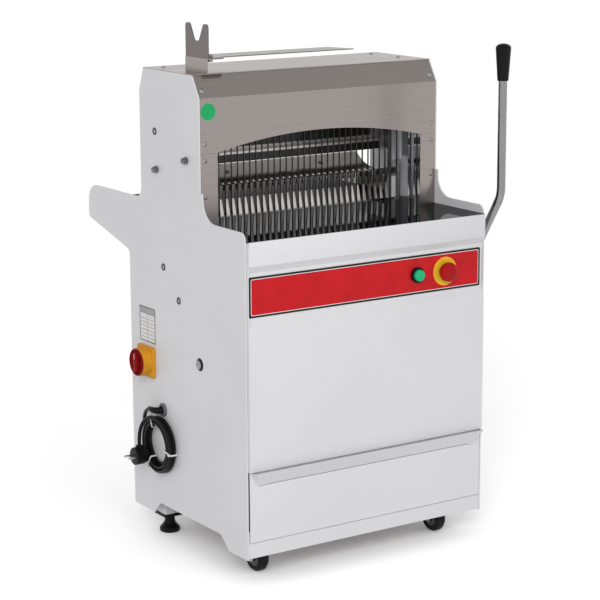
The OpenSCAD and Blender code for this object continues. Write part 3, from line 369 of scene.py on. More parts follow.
@dataclass(frozen=True)
class Steel:
    """Bare metal with streaks along the way that it was ground."""

    name: str
    colour: Colour
    roughness: float
    grain: Axis = Axis.X
    streak: float = 0.08
    spread: float = 0.05
    glance: float = 1.0
    patch_scale: float = 0.6
    bite: float = 0.6
    groove: float = 0.00005

    def build(self) -> bpy.types.Material:
        """Makes the material.

        Returns:
            The material.
        """
        graph = Graph(self.name)
        scale = [STREAKS_ACROSS] * 3
        scale[self.grain.value] = STREAKS_ALONG
        lines = graph.noise(scale, STREAK_DETAIL)
        patches = graph.noise([part * self.patch_scale for part in scale])
        graph.set(Metallic=1.0, Specular_Tint=(self.glance, self.glance, self.glance))
        graph.cloud(lines, self.colour, 1.0 - self.streak, 1.0 + self.streak)
        graph.gloss(patches, self.roughness, self.spread, self.spread)
        graph.bump(lines, self.streak * self.bite, self.groove)
        return graph.material


@dataclass(frozen=True)
class EdgeHighlightStrip:
    """Metal strip with painted shade on its flat sides and a painted highlight on its edges."""

    name: str
    edge: Colour
    face: Colour
    roughness: float
    across: Axis = Axis.X
    patches: float = 90.0
    mottle: float = 0.45
    smears: Point = (160.0, 160.0, 40.0)
    spread: Pair = (0.05, 0.08)
    relief: Pair = (0.08, 0.0002)

    def build(self) -> bpy.types.Material:
        """Makes the material.

        Returns:
            The material.
        """
        graph = Graph(self.name)
        patches = graph.noise(self.patches, STREAK_DETAIL)
        graph.set(Metallic=1.0)
        # painted highlight on edges, painted shade on faces square to the axis, by which way a face
        # looks
        graph.tint(graph.across(self.across, patches, self.mottle), self.edge, self.face)
        graph.gloss(graph.noise(self.smears), self.roughness, *self.spread)
        graph.bump(patches, *self.relief)
        return graph.material


@dataclass(frozen=True)
class PaintedLightSheet:
    """Sheet tinted dark as painted shade, with a painted highlight in a level band, less shaded
    facing back.
    """

    name: str
    bright: Colour
    dark: Colour
    low: float
    high: float
    blur: float
    roughness: float
    metallic: float = 1.0
    # share by which faces that look backwards are lifted out of the painted shade
    back: float = 0.0
    highlight_noise: float = 40.0
    spread: float = 0.06
    relief: Pair = (0.05, 0.00005)

    def build(self) -> bpy.types.Material:
        """Makes the material.

        Returns:
            The material.
        """
        graph = Graph(self.name)
        lines = graph.noise((STREAKS_ALONG, STREAKS_ACROSS, STREAKS_ACROSS), STREAK_DETAIL)
        # painted highlight: a bright band between two heights over a dark tone of painted shade
        painted_highlight = graph.band(self.low, self.high, self.blur, graph.noise(self.highlight_noise))
        graph.set(Metallic=self.metallic)
        graph.tint(graph.outward(Axis.Y, self.back, painted_highlight), self.dark, self.bright)
        graph.gloss(lines, self.roughness, self.spread, self.spread)
        graph.bump(lines, *self.relief)
        return graph.material


@dataclass(frozen=True)
class Plating:
    """Bright plated or polished metal with faint smears."""

    name: str
    colour: Colour
    roughness: float
    clouds: float = 9.0
    tones: Pair = (0.95, 1.04)
    smears: Pair = (22.0, 5.0)
    spread: Pair = (0.3, 0.5)
    waves: float = 14.0
    relief: Pair = (0.03, 0.0004)

    def build(self) -> bpy.types.Material:
        """Makes the material.

        Returns:
            The material.
        """
        graph = Graph(self.name)
        graph.set(Metallic=1.0)
        graph.cloud(graph.noise(self.clouds), self.colour, *self.tones)
        graph.gloss(graph.noise(*self.smears), self.roughness,
                    *(self.roughness * share for share in self.spread))
        graph.bump(graph.noise(self.waves), *self.relief)
        return graph.material


@dataclass(frozen=True)
class Moulding:
    """Moulded plastic or rubber with a fine spark-eroded skin."""

    name: str
    colour: Colour
    roughness: float
    texture: float = 0.1
    grain: float = 900.0
    sheen: float = 0.2
    clouds: float = 35.0
    tones: Pair = (0.9, 1.08)
    smears: float = 60.0
    spread: Pair = (0.05, 0.07)
    skin: float = 0.0002

    def build(self) -> bpy.types.Material:
        """Makes the material.

        Returns:
            The material.
        """
        graph = Graph(self.name)
        graph.set(Specular_IOR_Level=self.sheen)
        graph.cloud(graph.noise(self.clouds), self.colour, *self.tones)
        graph.gloss(graph.noise(self.smears), self.roughness, *self.spread)
        graph.bump(graph.noise(self.grain, FINE_DETAIL), self.texture, self.skin)
        return graph.material


@dataclass(frozen=True)
class Casting:
    """Sand-cast iron under a thin coat."""

    name: str
    colour: Colour
    roughness: float = 0.6
    metal: float = 0.6
    clouds: Pair = (80.0, 5.0)
    tones: Pair = (0.8, 1.15)
    smears: float = 120.0
    spread: float = 0.1
    grit: Pair = (260.0, 4.0)
    relief: Pair = (0.3, 0.0006)

    def build(self) -> bpy.types.Material:
        """Makes the material.

        Returns:
            The material.
        """
        graph = Graph(self.name)
        graph.set(Metallic=self.metal)
        graph.cloud(graph.noise(*self.clouds), self.colour, *self.tones)
        graph.gloss(graph.noise(self.smears), self.roughness, self.spread, self.spread)
        graph.bump(graph.noise(*self.grit), *self.relief)
        return graph.material


FinishKind = PowderCoat | Steel | EdgeHighlightStrip | PaintedLightSheet | Plating | Moulding | Casting

WHITE = PowderCoat("white_powder_coat", (0.72, 0.72, 0.738))
RED_FILM = Moulding("red_fascia_film", (0.55, 0.008, 0.013), 0.34, texture=0.04)
BLACK_FILM = Moulding("black_fascia_film", (0.012, 0.012, 0.013), 0.36, texture=0.04)
PALE_FILM = Moulding("pale_fascia_film", (0.78, 0.76, 0.76), 0.36, texture=0.04)
BRIGHT_SHEET = Steel("mirror_sheet", (0.26, 0.26, 0.27), 0.045, Axis.X, 0.05, 0.015, 0.36)
WALL_SHEET = Steel("wall_sheet", (0.66, 0.66, 0.68), 0.06, Axis.Z, 0.04, 0.02)
FLANGE_PAINT = PowderCoat("flange_paint", (0.92, 0.93, 0.95), 0.3)
# shield and guard: their dark tone is painted shade and their bright level band a painted highlight
SHIELD_SHEET = PaintedLightSheet("shield_sheet", (0.97, 0.93, 0.89), (0.05, 0.045, 0.042),
                         0.768, 0.84, 0.012, 0.4, 0.0)
GUARD_SHEET = PaintedLightSheet("guard_sheet", (0.85, 0.81, 0.78), (0.04, 0.037, 0.035),
                        0.811, 0.824, 0.003, 0.2, 0.5, 0.37)
# rivet heads: pale zinc, made near-white and matte partly as painted highlights
RIVET_ZINC_AND_HIGHLIGHT = PowderCoat("rivet_zinc_and_highlight", (0.85, 0.83, 0.81), 0.25)
TRAY_SHEET = Steel("tray_sheet", (0.17, 0.15, 0.143), 0.26)
REAR_SHEET = Steel("rear_sheet", (0.3, 0.285, 0.28), 0.2, Axis.Y, 0.06, 0.04, 0.12)
BLADE_STEEL = Steel("blade_steel", (0.1, 0.1, 0.1), 0.3, Axis.Z, 0.1)
HOOD_SHEET = Steel("satin_sheet", (0.335, 0.3, 0.286), 0.3, streak=0.045)
# fingers: bright edges are a painted highlight, dark flat sides painted shade
FINGER_STEEL = EdgeHighlightStrip("finger_strip", (0.55, 0.525, 0.505), (0.05, 0.046, 0.043), 0.2)
FRAME_STEEL = Steel("machined_steel", (0.3, 0.3, 0.305), 0.38, Axis.Z, 0.12)
GROUND_STEEL = Steel("ground_steel", (0.46, 0.46, 0.465), 0.24, Axis.Z)
WASHER_STEEL = Steel("washer_steel", (0.05, 0.052, 0.054), 0.35)
CHROME = Plating("chrome_plate", (0.29, 0.285, 0.29), 0.14)
NUT_PLATE = Plating("nut_plate", (0.2, 0.2, 0.205), 0.14)
PIN_NICKEL = Plating("pin_nickel", (0.6, 0.59, 0.56), 0.2)
ZINC = Plating("zinc_plate", (0.42, 0.42, 0.43), 0.3)
IRON = Casting("grey_iron", (0.16, 0.165, 0.17))
MOTOR_PAINT = PowderCoat("motor_paint", (0.13, 0.16, 0.19), 0.5)
BELT = Moulding("belt_rubber", (0.022, 0.022, 0.022), 0.7, 0.3, 350.0)
BLACK_MOULDING = Moulding("black_moulding", (0.007, 0.0065, 0.0065), 0.32, sheen=0.13)
GREY_MOULDING = Moulding("grey_moulding", (0.12, 0.125, 0.13), 0.42)
GREEN_LENS = Moulding("green_lens", (0.015, 0.47, 0.2), 0.18, 0.02)
RED_MOULDING = Moulding("red_moulding", (0.4, 0.008, 0.01), 0.3, 0.04, sheen=0.12)
YELLOW_MOULDING = Moulding("yellow_moulding", (0.8, 0.47, 0.025), 0.36, 0.05)
DEEP_RED_MOULDING = Moulding("deep_red_moulding", (0.23, 0.006, 0.007), 0.4, 0.04, sheen=0.1)
AMBER_MOULDING = Moulding("amber_moulding", (0.66, 0.29, 0.016), 0.36, 0.05)
HEADER_FILM = Moulding("header_film", (0.4, 0.4, 0.41), 0.4, 0.04)
GREEN_PAPER = Moulding("green_paper", (0.02, 0.42, 0.13), 0.5, 0.08, 500.0)
PLATE_FOIL = Steel("plate_foil", (0.62, 0.61, 0.6), 0.4, Axis.Y, 0.06)
TYRE = Moulding("wheel_rubber", (0.01, 0.01, 0.0105), 0.55, 0.25, 420.0, 0.15)
SHEATH = Moulding("lead_sheath", (0.006, 0.0055, 0.0055), 0.36, 0.15, 500.0, 0.15)
TIE_NYLON = Moulding("tie_nylon", (0.72, 0.71, 0.68), 0.38, 0.04)

SLOT_FINISH: dict[str, FinishKind] = {
    "white_paint": WHITE, "fascia_red": RED_FILM, "polished_steel": BRIGHT_SHEET,
    "satin_steel": HOOD_SHEET, "frame_steel": FRAME_STEEL, "bright_steel": GROUND_STEEL,
    "chrome": CHROME, "cast_iron": IRON, "motor_grey": MOTOR_PAINT, "belt_rubber": BELT,
    "black_plastic": BLACK_MOULDING, "grey_plastic": GREY_MOULDING, "green_plastic": GREEN_LENS,
    "red_plastic": RED_MOULDING, "yellow_plastic": YELLOW_MOULDING, "zinc_steel": ZINC,
    "wheel_rubber": TYRE, "cord_black": SHEATH,
}
NODE_FINISH: dict[str, FinishKind] = {
    "pusher_fingers": FINGER_STEEL, "rear_table": REAR_SHEET, "pusher_shield": SHIELD_SHEET,
    "rear_guard": GUARD_SHEET, "bag_tray": TRAY_SHEET,
}


class Paintbox:
    """Keeps one material for each finish."""

    def __init__(self) -> None:
        """Starts with no materials."""
        self.made: dict[str, bpy.types.Material] = {}

    def get(self, finish: FinishKind) -> bpy.types.Material:
        """Gives the material of a finish, made on first use.

        Args:
            finish: The finish.

        Returns:
            Its material.
        """
        if finish.name not in self.made:
            self.made[finish.name] = finish.build()
        return self.made[finish.name]

    def dress_solids(self) -> None:
        """Gives every node of the frame the finish of its record slot."""
        for entry in frame["record"]["subparts"]:
            finish = NODE_FINISH.get(entry["node"], SLOT_FINISH[entry["material_slot"]])
            for place in frame["nodes"][entry["node"]].material_slots:
                place.material = self.get(finish)


PAINTS = Paintbox()


class Bench:
    """A mesh under construction, in millimetres."""

    def __init__(self) -> None:
        """Starts with an empty mesh."""
        self.bm = bmesh.new()

    def block(self, low: Point, high: Point, soft: float = 0.0,
              segments: int = 2) -> list[bmesh.types.BMVert]:
        """Adds a box with softened edges.

        Args:
            low: Lowest corner.
            high: Highest corner.
            soft: Width of the softening, or 0 for none.
            segments: Steps across a softened edge.

        Returns:
            The box's points.
        """
        low, high = Vector(low), Vector(high)
        before = set(self.bm.verts)
        verts = bmesh.ops.create_cube(self.bm, size=1.0)["verts"]
        bmesh.ops.scale(self.bm, vec=high - low, verts=verts)
        bmesh.ops.translate(self.bm, vec=(low + high) / 2, verts=verts)
        if soft > 0.0:
            self.soften({edge for vert in verts for edge in vert.link_edges}, soft, segments)
        return [vert for vert in self.bm.verts if vert not in before]

    def soften(self, edges: Iterable[bmesh.types.BMEdge], width: float, segments: int = 3) -> None:
        """Rounds a set of edges."""
        bmesh.ops.bevel(self.bm, geom=list(edges), offset=width, offset_type="OFFSET",
                        affect="EDGES", segments=segments, profile=0.5, material=-1,
                        clamp_overlap=True)

    def plate(self, low: Point, high: Point, across: Axis, corner: float,
              soft: float = 0.0) -> None:
        """Adds a flat plate with round corners.

        Args:
            low: Lowest corner.
            high: Highest corner.
            across: Direction of the plate's thickness.
            corner: Radius of the corners.
            soft: Width of the softening round both faces, or 0 for none.
        """
        verts = self.block(low, high)
        turned = {edge for vert in verts for edge in vert.link_edges
                  if abs((edge.verts[0].co - edge.verts[1].co)[across.value]) > TINY}
        before = set(self.bm.verts) - set(verts)
        self.soften(turned, corner, CORNER_STEPS)
        if soft > 0.0:
            rims = [edge for edge in self.bm.edges if edge.verts[0] not in before
                    and len(edge.link_faces) == 2 and edge.calc_face_angle(0.0) > RIM_ANGLE]
            self.soften(rims, soft, 2)

    def turned(self, profile: Section, place: Matrix, steps: int = 48) -> None:
        """Adds a piece turned on a lathe.

        Args:
            profile: Radius and height of each point, from one end to the other.
            place: Where the piece's foot goes, and which way it looks.
            steps: Facets in a full turn.
        """
        before = set(self.bm.verts)
        verts = [self.bm.verts.new((radius, 0.0, height)) for radius, height in profile]
        edges = [self.bm.edges.new(pair) for pair in zip(verts, verts[1:])]
        bmesh.ops.spin(self.bm, geom=verts + edges, cent=(0, 0, 0), axis=(0, 0, 1), angle=math.tau,
                       steps=steps, use_merge=True)
        made = [vert for vert in self.bm.verts if vert not in before]
        bmesh.ops.remove_doubles(self.bm, verts=made, dist=MERGE)
        made = [vert for vert in self.bm.verts if vert not in before]
        bmesh.ops.transform(self.bm, matrix=place, verts=made)

    def swept(self, stations: Sequence[tuple[Matrix, float]], sides: int = 24) -> None:
        """Adds a tube through a row of rings, closed at both ends.

        Args:
            stations: Place and radius of each ring, whose +Z looks along the tube.
            sides: Facets round the tube.
        """
        rings = []
        for i, (place, radius) in enumerate(stations):
            ends = i in (0, len(stations) - 1)
            verts = bmesh.ops.create_circle(self.bm, cap_ends=ends, segments=sides, radius=radius,
                                            matrix=place)["verts"]
            rings.append(list({edge for vert in verts for edge in vert.link_edges}))
        for pair in zip(rings, rings[1:]):
            bmesh.ops.bridge_loops(self.bm, edges=[edge for ring in pair for edge in ring])

    def finish(self, name: str, finish: FinishKind, body: str, slot: str, *nodes: str,
               crease: float = 35.0) -> bpy.types.Object:
        """Turns the mesh into a piece of the machine.

        Args:
            name: Name of the piece.
            finish: Its finish.
            body: The body that it rides on.
            slot: A record slot; not used.
            nodes: Solids that it stands for.
            crease: Angle in degrees above which an edge stays sharp.

        Returns:
            The piece.
        """
        bmesh.ops.dissolve_degenerate(self.bm, dist=SLIVER, edges=self.bm.edges)
        bmesh.ops.recalc_face_normals(self.bm, faces=self.bm.faces)
        bmesh.ops.scale(self.bm, vec=(MM, MM, MM), verts=self.bm.verts)
        mesh = bpy.data.meshes.new(name)
        self.bm.to_mesh(mesh)
        self.bm.free()
        mesh.shade_smooth()
        mesh.set_sharp_from_angle(angle=math.radians(crease))
        mesh.materials.append(PAINTS.get(finish))
        piece = bpy.data.objects.new(name, mesh)
        bpy.context.scene.collection.objects.link(piece)
        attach(piece, body)
        if nodes:
            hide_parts(*nodes)
        LOG.info("%s: %d faces on %s", name, len(mesh.polygons), body)
        return piece


def rounded_end(radius: float, height: float, edge: float,
                steps: int = 4) -> list[Pair]:
    """Gives the profile points of a rounded rim and flat top.

    Args:
        radius: Radius of the piece.
        height: Height of the top.
        edge: Radius of the rounding.
        steps: Points on the rounding.

    Returns:
        Points from the wall to the middle of the top.
    """
    arc = [(radius - edge + edge * math.cos(math.pi / 2 * i / steps),
            height - edge + edge * math.sin(math.pi / 2 * i / steps)) for i in range(steps + 1)]
    return [*arc, (0.0, height)]


@dataclass(frozen=True)
class TurnedPiece:
    """A piece made on a lathe, with its section as radius and height of each point."""

    name: str
    finish: FinishKind
    body: str
    slot: str
    nodes: tuple[str, ...]
    section: Section
    steps: int = 48

    def build(self, *places: Matrix) -> bpy.types.Object:
        """Makes the piece.

        Args:
            places: Where its parts stand, and which way they look.

        Returns:
            The piece.
        """
        bench = Bench()
        for place in places:
            bench.turned(self.section, place, self.steps)
        return bench.finish(self.name, self.finish, self.body, self.slot, *self.nodes)


@dataclass
class MainsLead:
    """The coiled lead on the left panel, its plug, its boot and its ties."""

    diameter: float = 8.0
    gland: Point = (-HALF_W, depth(330), 292.0)
    gland_t: float = 6.0
    boot_r: float = 14.0
    centre: Pair = (depth(338), 217.0)
    outer_r: float = 62.5
    step: float = 8.7
    turns: float = 5.0
    lead_in: float = 0.25
    layers: Pair = (-HALF_W - 5.7, -HALF_W - 14.4)
    plug_x: float = -HALF_W - 34.0
    lift: float = 0.3
    tail: float = 0.05
    tail_r: float = 40.0
    run_out: float = 0.25
    climb: float = 0.25
    points_per_turn: int = 48
    gland_ring: TurnedPiece = TurnedPiece(
        "lead_gland", GREY_MOULDING, "cabinet", "grey_plastic", ("cable_gland",),
        ((0.0, -3.0), (8.0, -3.0), (8.0, 0.0), (14.0, 0.0), (14.0, 3.0), (13.2, 4.6), (11.4, 5.6),
         (9.4, 5.6), (8.6, 4.6), (8.4, 2.0), (0.0, 2.0)))
    boot_steps: int = 12
    boot_seat: float = 0.3
    boot_taper: Pair = (7.2, 1.4)
    boot_rib: float = 0.3
    boot_crease: float = 50.0
    boot_tip: Section = ((0.56, 5.7), (1.12, 5.2), (1.6, 4.6))
    neck: float = 4.0
    plug_r: float = 19.0
    plug_half: float = 13.0
    plug_shell: Section = ((0.0, 0.0), (14.0, 0.0), (17.5, 2.5), (19.0, 8.0),
                           *rounded_end(19.0, 27.0, 1.8))
    plug_neck: Section = (
        (0.0, 0.0), (9.0, 0.0), (9.0, 12.0), (8.2, 13.0), (8.2, 14.6), (8.8, 15.4), (8.8, 17.0),
        (7.9, 17.8), (7.9, 19.4), (8.3, 20.2), (7.4, 22.4), (5.0, 23.0), (0.0, 23.0))
    shell_steps: int = 56
    neck_steps: int = 40
    pins: TurnedPiece = TurnedPiece(
        "mains_plug_pins", PIN_NICKEL, "cabinet", "chrome", (),
        ((0.0, 0.0), (2.4, 0.0), (2.4, 17.5), (1.9, 19.2), (1.0, 20.0), (0.0, 20.0)), 24)
    pin_y: float = 9.5
    tie_angles: tuple[float, ...] = (18.0, 148.0, 262.0)
    tie_wraps: float = 2.6
    tie_slack: Pair = (4.0, 5.2)
    tie_clear: float = 4.6
    tie_w: float = 3.6
    tie_t: float = 0.9
    tie_corner: float = 3.5
    lock_t: float = 3.4
    lock_w: float = 5.2
    lock_in: Pair = (9.0, 3.0)
    lock_edge: float = 0.8

    def boot_end(self) -> Vector:
        """Gives the point where the lead leaves its boot."""
        x, y, z = self.gland
        return Vector((x - self.gland_t - self.boot_r, y + self.boot_r, z))

    def wound(self, turn: float) -> Vector:
        """Gives the point of the coil at a turn count from the top.

        Args:
            turn: Turns from the top of the coil.

        Returns:
            The point on the lead's middle.
        """
        start = self.boot_end() + Vector((0.0, self.diameter, 0.0))
        offset = (start.y - self.centre[0], start.z - self.centre[1])
        first_r, first_turn = math.hypot(*offset), math.atan2(*offset) / math.tau
        led = ease((turn - first_turn) / (self.lead_in - first_turn))
        if turn < self.lead_in:
            radius = first_r + (self.outer_r - first_r) * led
        else:
            wraps = min(turn - self.lead_in, self.turns - turn)
            radius = self.outer_r - self.step * max(wraps, 0.0)
            gone = (turn - self.turns + self.tail) / (self.run_out + self.tail)
            radius += (self.tail_r - radius) * ease(gone)
        inner = self.layers[0] + (self.boot_end().x - self.layers[0]) * (1.0 - led)
        lifted = ease((turn - self.turns + self.lift) / (self.run_out + self.lift))
        outer = self.layers[1] + (self.plug_x - self.layers[1]) * lifted
        middle = (self.turns + self.lead_in) / 2
        climbed = ease((turn - middle + self.climb) / (2 * self.climb))
        angle = math.tau * turn
        return Vector((inner + (outer - inner) * climbed,
                       self.centre[0] + radius * math.sin(angle),
                       self.centre[1] + radius * math.cos(angle)))

    def route(self) -> list[Vector]:
        """Gives the points that the lead follows.

        Returns:
            The points, from the boot to the plug.
        """
        exit_point = self.boot_end()
        along = Vector((0.0, self.diameter, 0.0))
        count = int(self.points_per_turn * (self.turns + self.run_out))
        wound = [self.wound(i / self.points_per_turn) for i in range(2, count + 1)]
        last = wound[-1] - Vector((0.0, 0.0, self.diameter))
        return [exit_point, exit_point + along / 2, exit_point + along, *wound,
                (wound[-1] + last) / 2, last]

    def build(self) -> None:
        """Makes the lead with what is on it."""
        points = self.route()
        curve = bpy.data.curves.new("mains_lead", "CURVE")
        curve.dimensions = "3D"
        curve.bevel_depth = self.diameter / 2 * MM
        curve.bevel_resolution = 4
        curve.use_fill_caps = True
        line = curve.splines.new("POLY")
        line.points.add(len(points) - 1)
        for spot, point in zip(line.points, points):
            spot.co = (*(point * MM), 1.0)
        line.use_smooth = True
        curve.materials.append(PAINTS.get(SHEATH))
        lead = bpy.data.objects.new("mains_lead", curve)
        bpy.context.scene.collection.objects.link(lead)
        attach(lead, "cabinet")
        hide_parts("cord_coil")
        self.boot()
        plug, pins = self.plug(points[-1])
        ties = self.ties()

    def boot(self) -> None:
        """Makes the gland's ring and the ribbed, tapering elbow that the lead leaves."""
        x, y, z = self.gland
        self.gland_ring.build(Facing.LEFT.at(self.gland))
        bench, stations = Bench(), []
        along = Matrix.Rotation(-math.pi / 2, 4, "X")
        wide, taper = self.boot_taper
        for i in range(self.boot_steps + 1):
            share = i / self.boot_steps
            angle = math.pi / 2 * share
            spot = (x - self.gland_t * min(i + self.boot_seat, 1.0) - self.boot_r * math.sin(angle),
                    y + self.boot_r * (1.0 - math.cos(angle)), z)
            bent = Matrix.Translation(spot) @ Matrix.Rotation(-math.pi / 2 - angle, 4, "Z")
            stations.append((bent @ along, wide - taper * share + self.boot_rib * (i % 2)))
        for reach, radius in self.boot_tip:
            spot = self.boot_end() + Vector((0.0, reach * self.diameter, 0.0))
            stations.append((Matrix.Translation(spot) @ along, radius))
        bench.swept(stations)
        bench.finish("lead_boot", SHEATH, "cabinet", "cord_black", crease=self.boot_crease)

    def plug(self, entry: Vector) -> tuple[bpy.types.Object, bpy.types.Object]:
        """Makes the plug below the lead's end.

        Args:
            entry: Where the lead enters the plug.

        Returns:
            The plug's body and its pins.
        """
        middle = entry - Vector((0.0, 0.0, self.neck + self.plug_r))
        back, face = (middle + Vector((side * self.plug_half, 0.0, 0.0)) for side in (1, -1))
        bench = Bench()
        bench.turned(self.plug_shell, Facing.LEFT.at(back), self.shell_steps)
        bench.turned(self.plug_neck, Facing.UP.at(middle), self.neck_steps)
        body = bench.finish("mains_plug_body", BLACK_MOULDING, "cabinet", "cord_black",
                            "mains_plug")
        pins = self.pins.build(*(Facing.LEFT.at(face + Vector((0.0, side * self.pin_y, 0.0)))
                                 for side in SIDES))
        return body, pins

    def ties(self) -> bpy.types.Object:
        """Makes the straps that hold the coil together.

        Returns:
            The straps.
        """
        bench = Bench()
        low_r = self.outer_r - self.tie_wraps * self.step - self.tie_slack[0]
        high_r = self.outer_r + self.tie_slack[1]
        low_x, high_x = self.layers[1] - self.tie_clear, self.layers[0] + self.tie_clear
        half, lock = self.tie_w / 2, self.lock_w / 2
        for angle in self.tie_angles:
            before = set(bench.bm.verts)
            bench.plate((low_x, -half, low_r), (high_x, half, high_r), Axis.Y, self.tie_corner)
            faces = {face for vert in bench.bm.verts if vert not in before
                     for face in vert.link_faces}
            ends = [face for face in faces if abs(face.normal.y) > SQUARE_ON]
            bmesh.ops.inset_region(bench.bm, faces=ends, thickness=self.tie_t, use_even_offset=True)
            inner = [face for face in ends if face.is_valid]
            bmesh.ops.bridge_loops(bench.bm, edges=[edge for face in inner for edge in face.edges])
            bmesh.ops.delete(bench.bm, geom=[face for face in inner if face.is_valid],
                             context="FACES_ONLY")
            bench.block((low_x - self.lock_t, -lock, high_r - self.lock_in[0]),
                        (low_x, lock, high_r - self.lock_in[1]), self.lock_edge)
            made = [vert for vert in bench.bm.verts if vert not in before]
            turn = Matrix.Rotation(-math.radians(angle), 4, "X")
            shift = Matrix.Translation((0.0, *self.centre))
            bmesh.ops.transform(bench.bm, matrix=shift @ turn, verts=made)
        return bench.finish("lead_ties", TIE_NYLON, "cabinet", "cord_black")


@dataclass
class ControlFascia:
    """The coloured band with its printed rim, and the two push buttons."""

    half_w: float = 284.5
    low_z: float = 548.0
    high_z: float = 629.0
    front_y: float = depth(0.8)
    back_y: float = depth(2.0)
    corner: float = 3.0
    rim: float = 4.0
    line: float = 1.3
    print_t: float = 0.08
    start_x: float = 121.0
    bezel: TurnedPiece = TurnedPiece(
        "start_bezel_ring", BLACK_MOULDING, "cabinet", "grey_plastic", ("start_bezel",),
        ((9.3, -36.0), (11.0, -36.0), (11.0, -0.2), (16.0, -0.2), (16.0, 5.4), (15.2, 6.6),
         (14.0, 7.0), (12.9, 6.8), (12.3, 6.2), (12.3, 2.0), (9.3, 2.0), (9.3, -36.0)))
    lens: TurnedPiece = TurnedPiece(
        "start_lens", GREEN_LENS, "start_button", "green_plastic", ("start_button",),
        ((0.0, -16.0), (9.0, -16.0), (9.0, 6.3), (12.0, 6.3), (12.0, 11.2), (11.6, 12.2),
         (10.6, 12.7), (9.6, 12.6), (8.8, 12.3), (4.0, 12.8), (0.0, 12.9)))
    stop_x: float = 192.5
    ring: TurnedPiece = TurnedPiece(
        "stop_ring_disc", YELLOW_MOULDING, "cabinet", "yellow_plastic", ("stop_ring",),
        ((8.4, -0.1), (30.0, -0.1), (30.0, 1.4), (29.2, 2.0), (15.4, 2.0), (15.4, 1.2),
         (8.4, 1.2), (8.4, -0.1)), 72)
    collar: TurnedPiece = TurnedPiece(
        "stop_collar", BLACK_MOULDING, "cabinet", "black_plastic", (),
        ((8.4, -36.0), (11.0, -36.0), (11.0, 0.0), (15.0, 1.0), (15.0, 6.4), (14.4, 7.0),
         (8.4, 7.0), (8.4, -36.0)))
    mushroom: TurnedPiece = TurnedPiece(
        "stop_mushroom", RED_MOULDING, "stop_button", "red_plastic", ("stop_button",),
        ((0.0, -12.0), (8.0, -12.0), (8.0, 13.0), (16.0, 13.0), (16.0, 8.0), (18.8, 8.0),
         (19.6, 8.8), (20.0, 10.4), (20.0, 17.4), (19.4, 19.4), (17.6, 21.2), (14.0, 22.8),
         (9.0, 23.8), (4.0, 24.2), (0.0, 24.3)), 64)

    def layer(self, name: str, finish: FinishKind, slot: str, inset: float, proud: float,
              *nodes: str) -> None:
        """Makes one printed layer.

        Args:
            name: Name of the piece.
            finish: Its finish.
            slot: Its record slot.
            inset: Distance from the fascia's edge.
            proud: How far it stands in front of the fascia.
            nodes: Solids that it stands for.
        """
        bench = Bench()
        bench.plate((-self.half_w + inset, self.front_y - proud, self.low_z + inset),
                    (self.half_w - inset, self.back_y, self.high_z - inset), Axis.Y, self.corner)
        bench.finish(name, finish, "cabinet", slot, *nodes)

    def build(self) -> None:
        """Makes the fascia and the buttons."""
        field = self.rim + self.line
        self.layer("fascia_rim", BLACK_FILM, "black_plastic", 0.0, 0.0, "control_fascia")
        self.layer("fascia_line", PALE_FILM, "white_paint", self.rim, self.print_t)
        self.layer("fascia_field", RED_FILM, "fascia_red", field, 2 * self.print_t)
        middle = (self.low_z + self.high_z) / 2
        for x, pieces in ((self.start_x, (self.bezel, self.lens)),
                          (self.stop_x, (self.ring, self.collar, self.mushroom))):
            for piece in pieces:
                piece.build(Facing.FRONT.at((x, self.front_y, middle)))


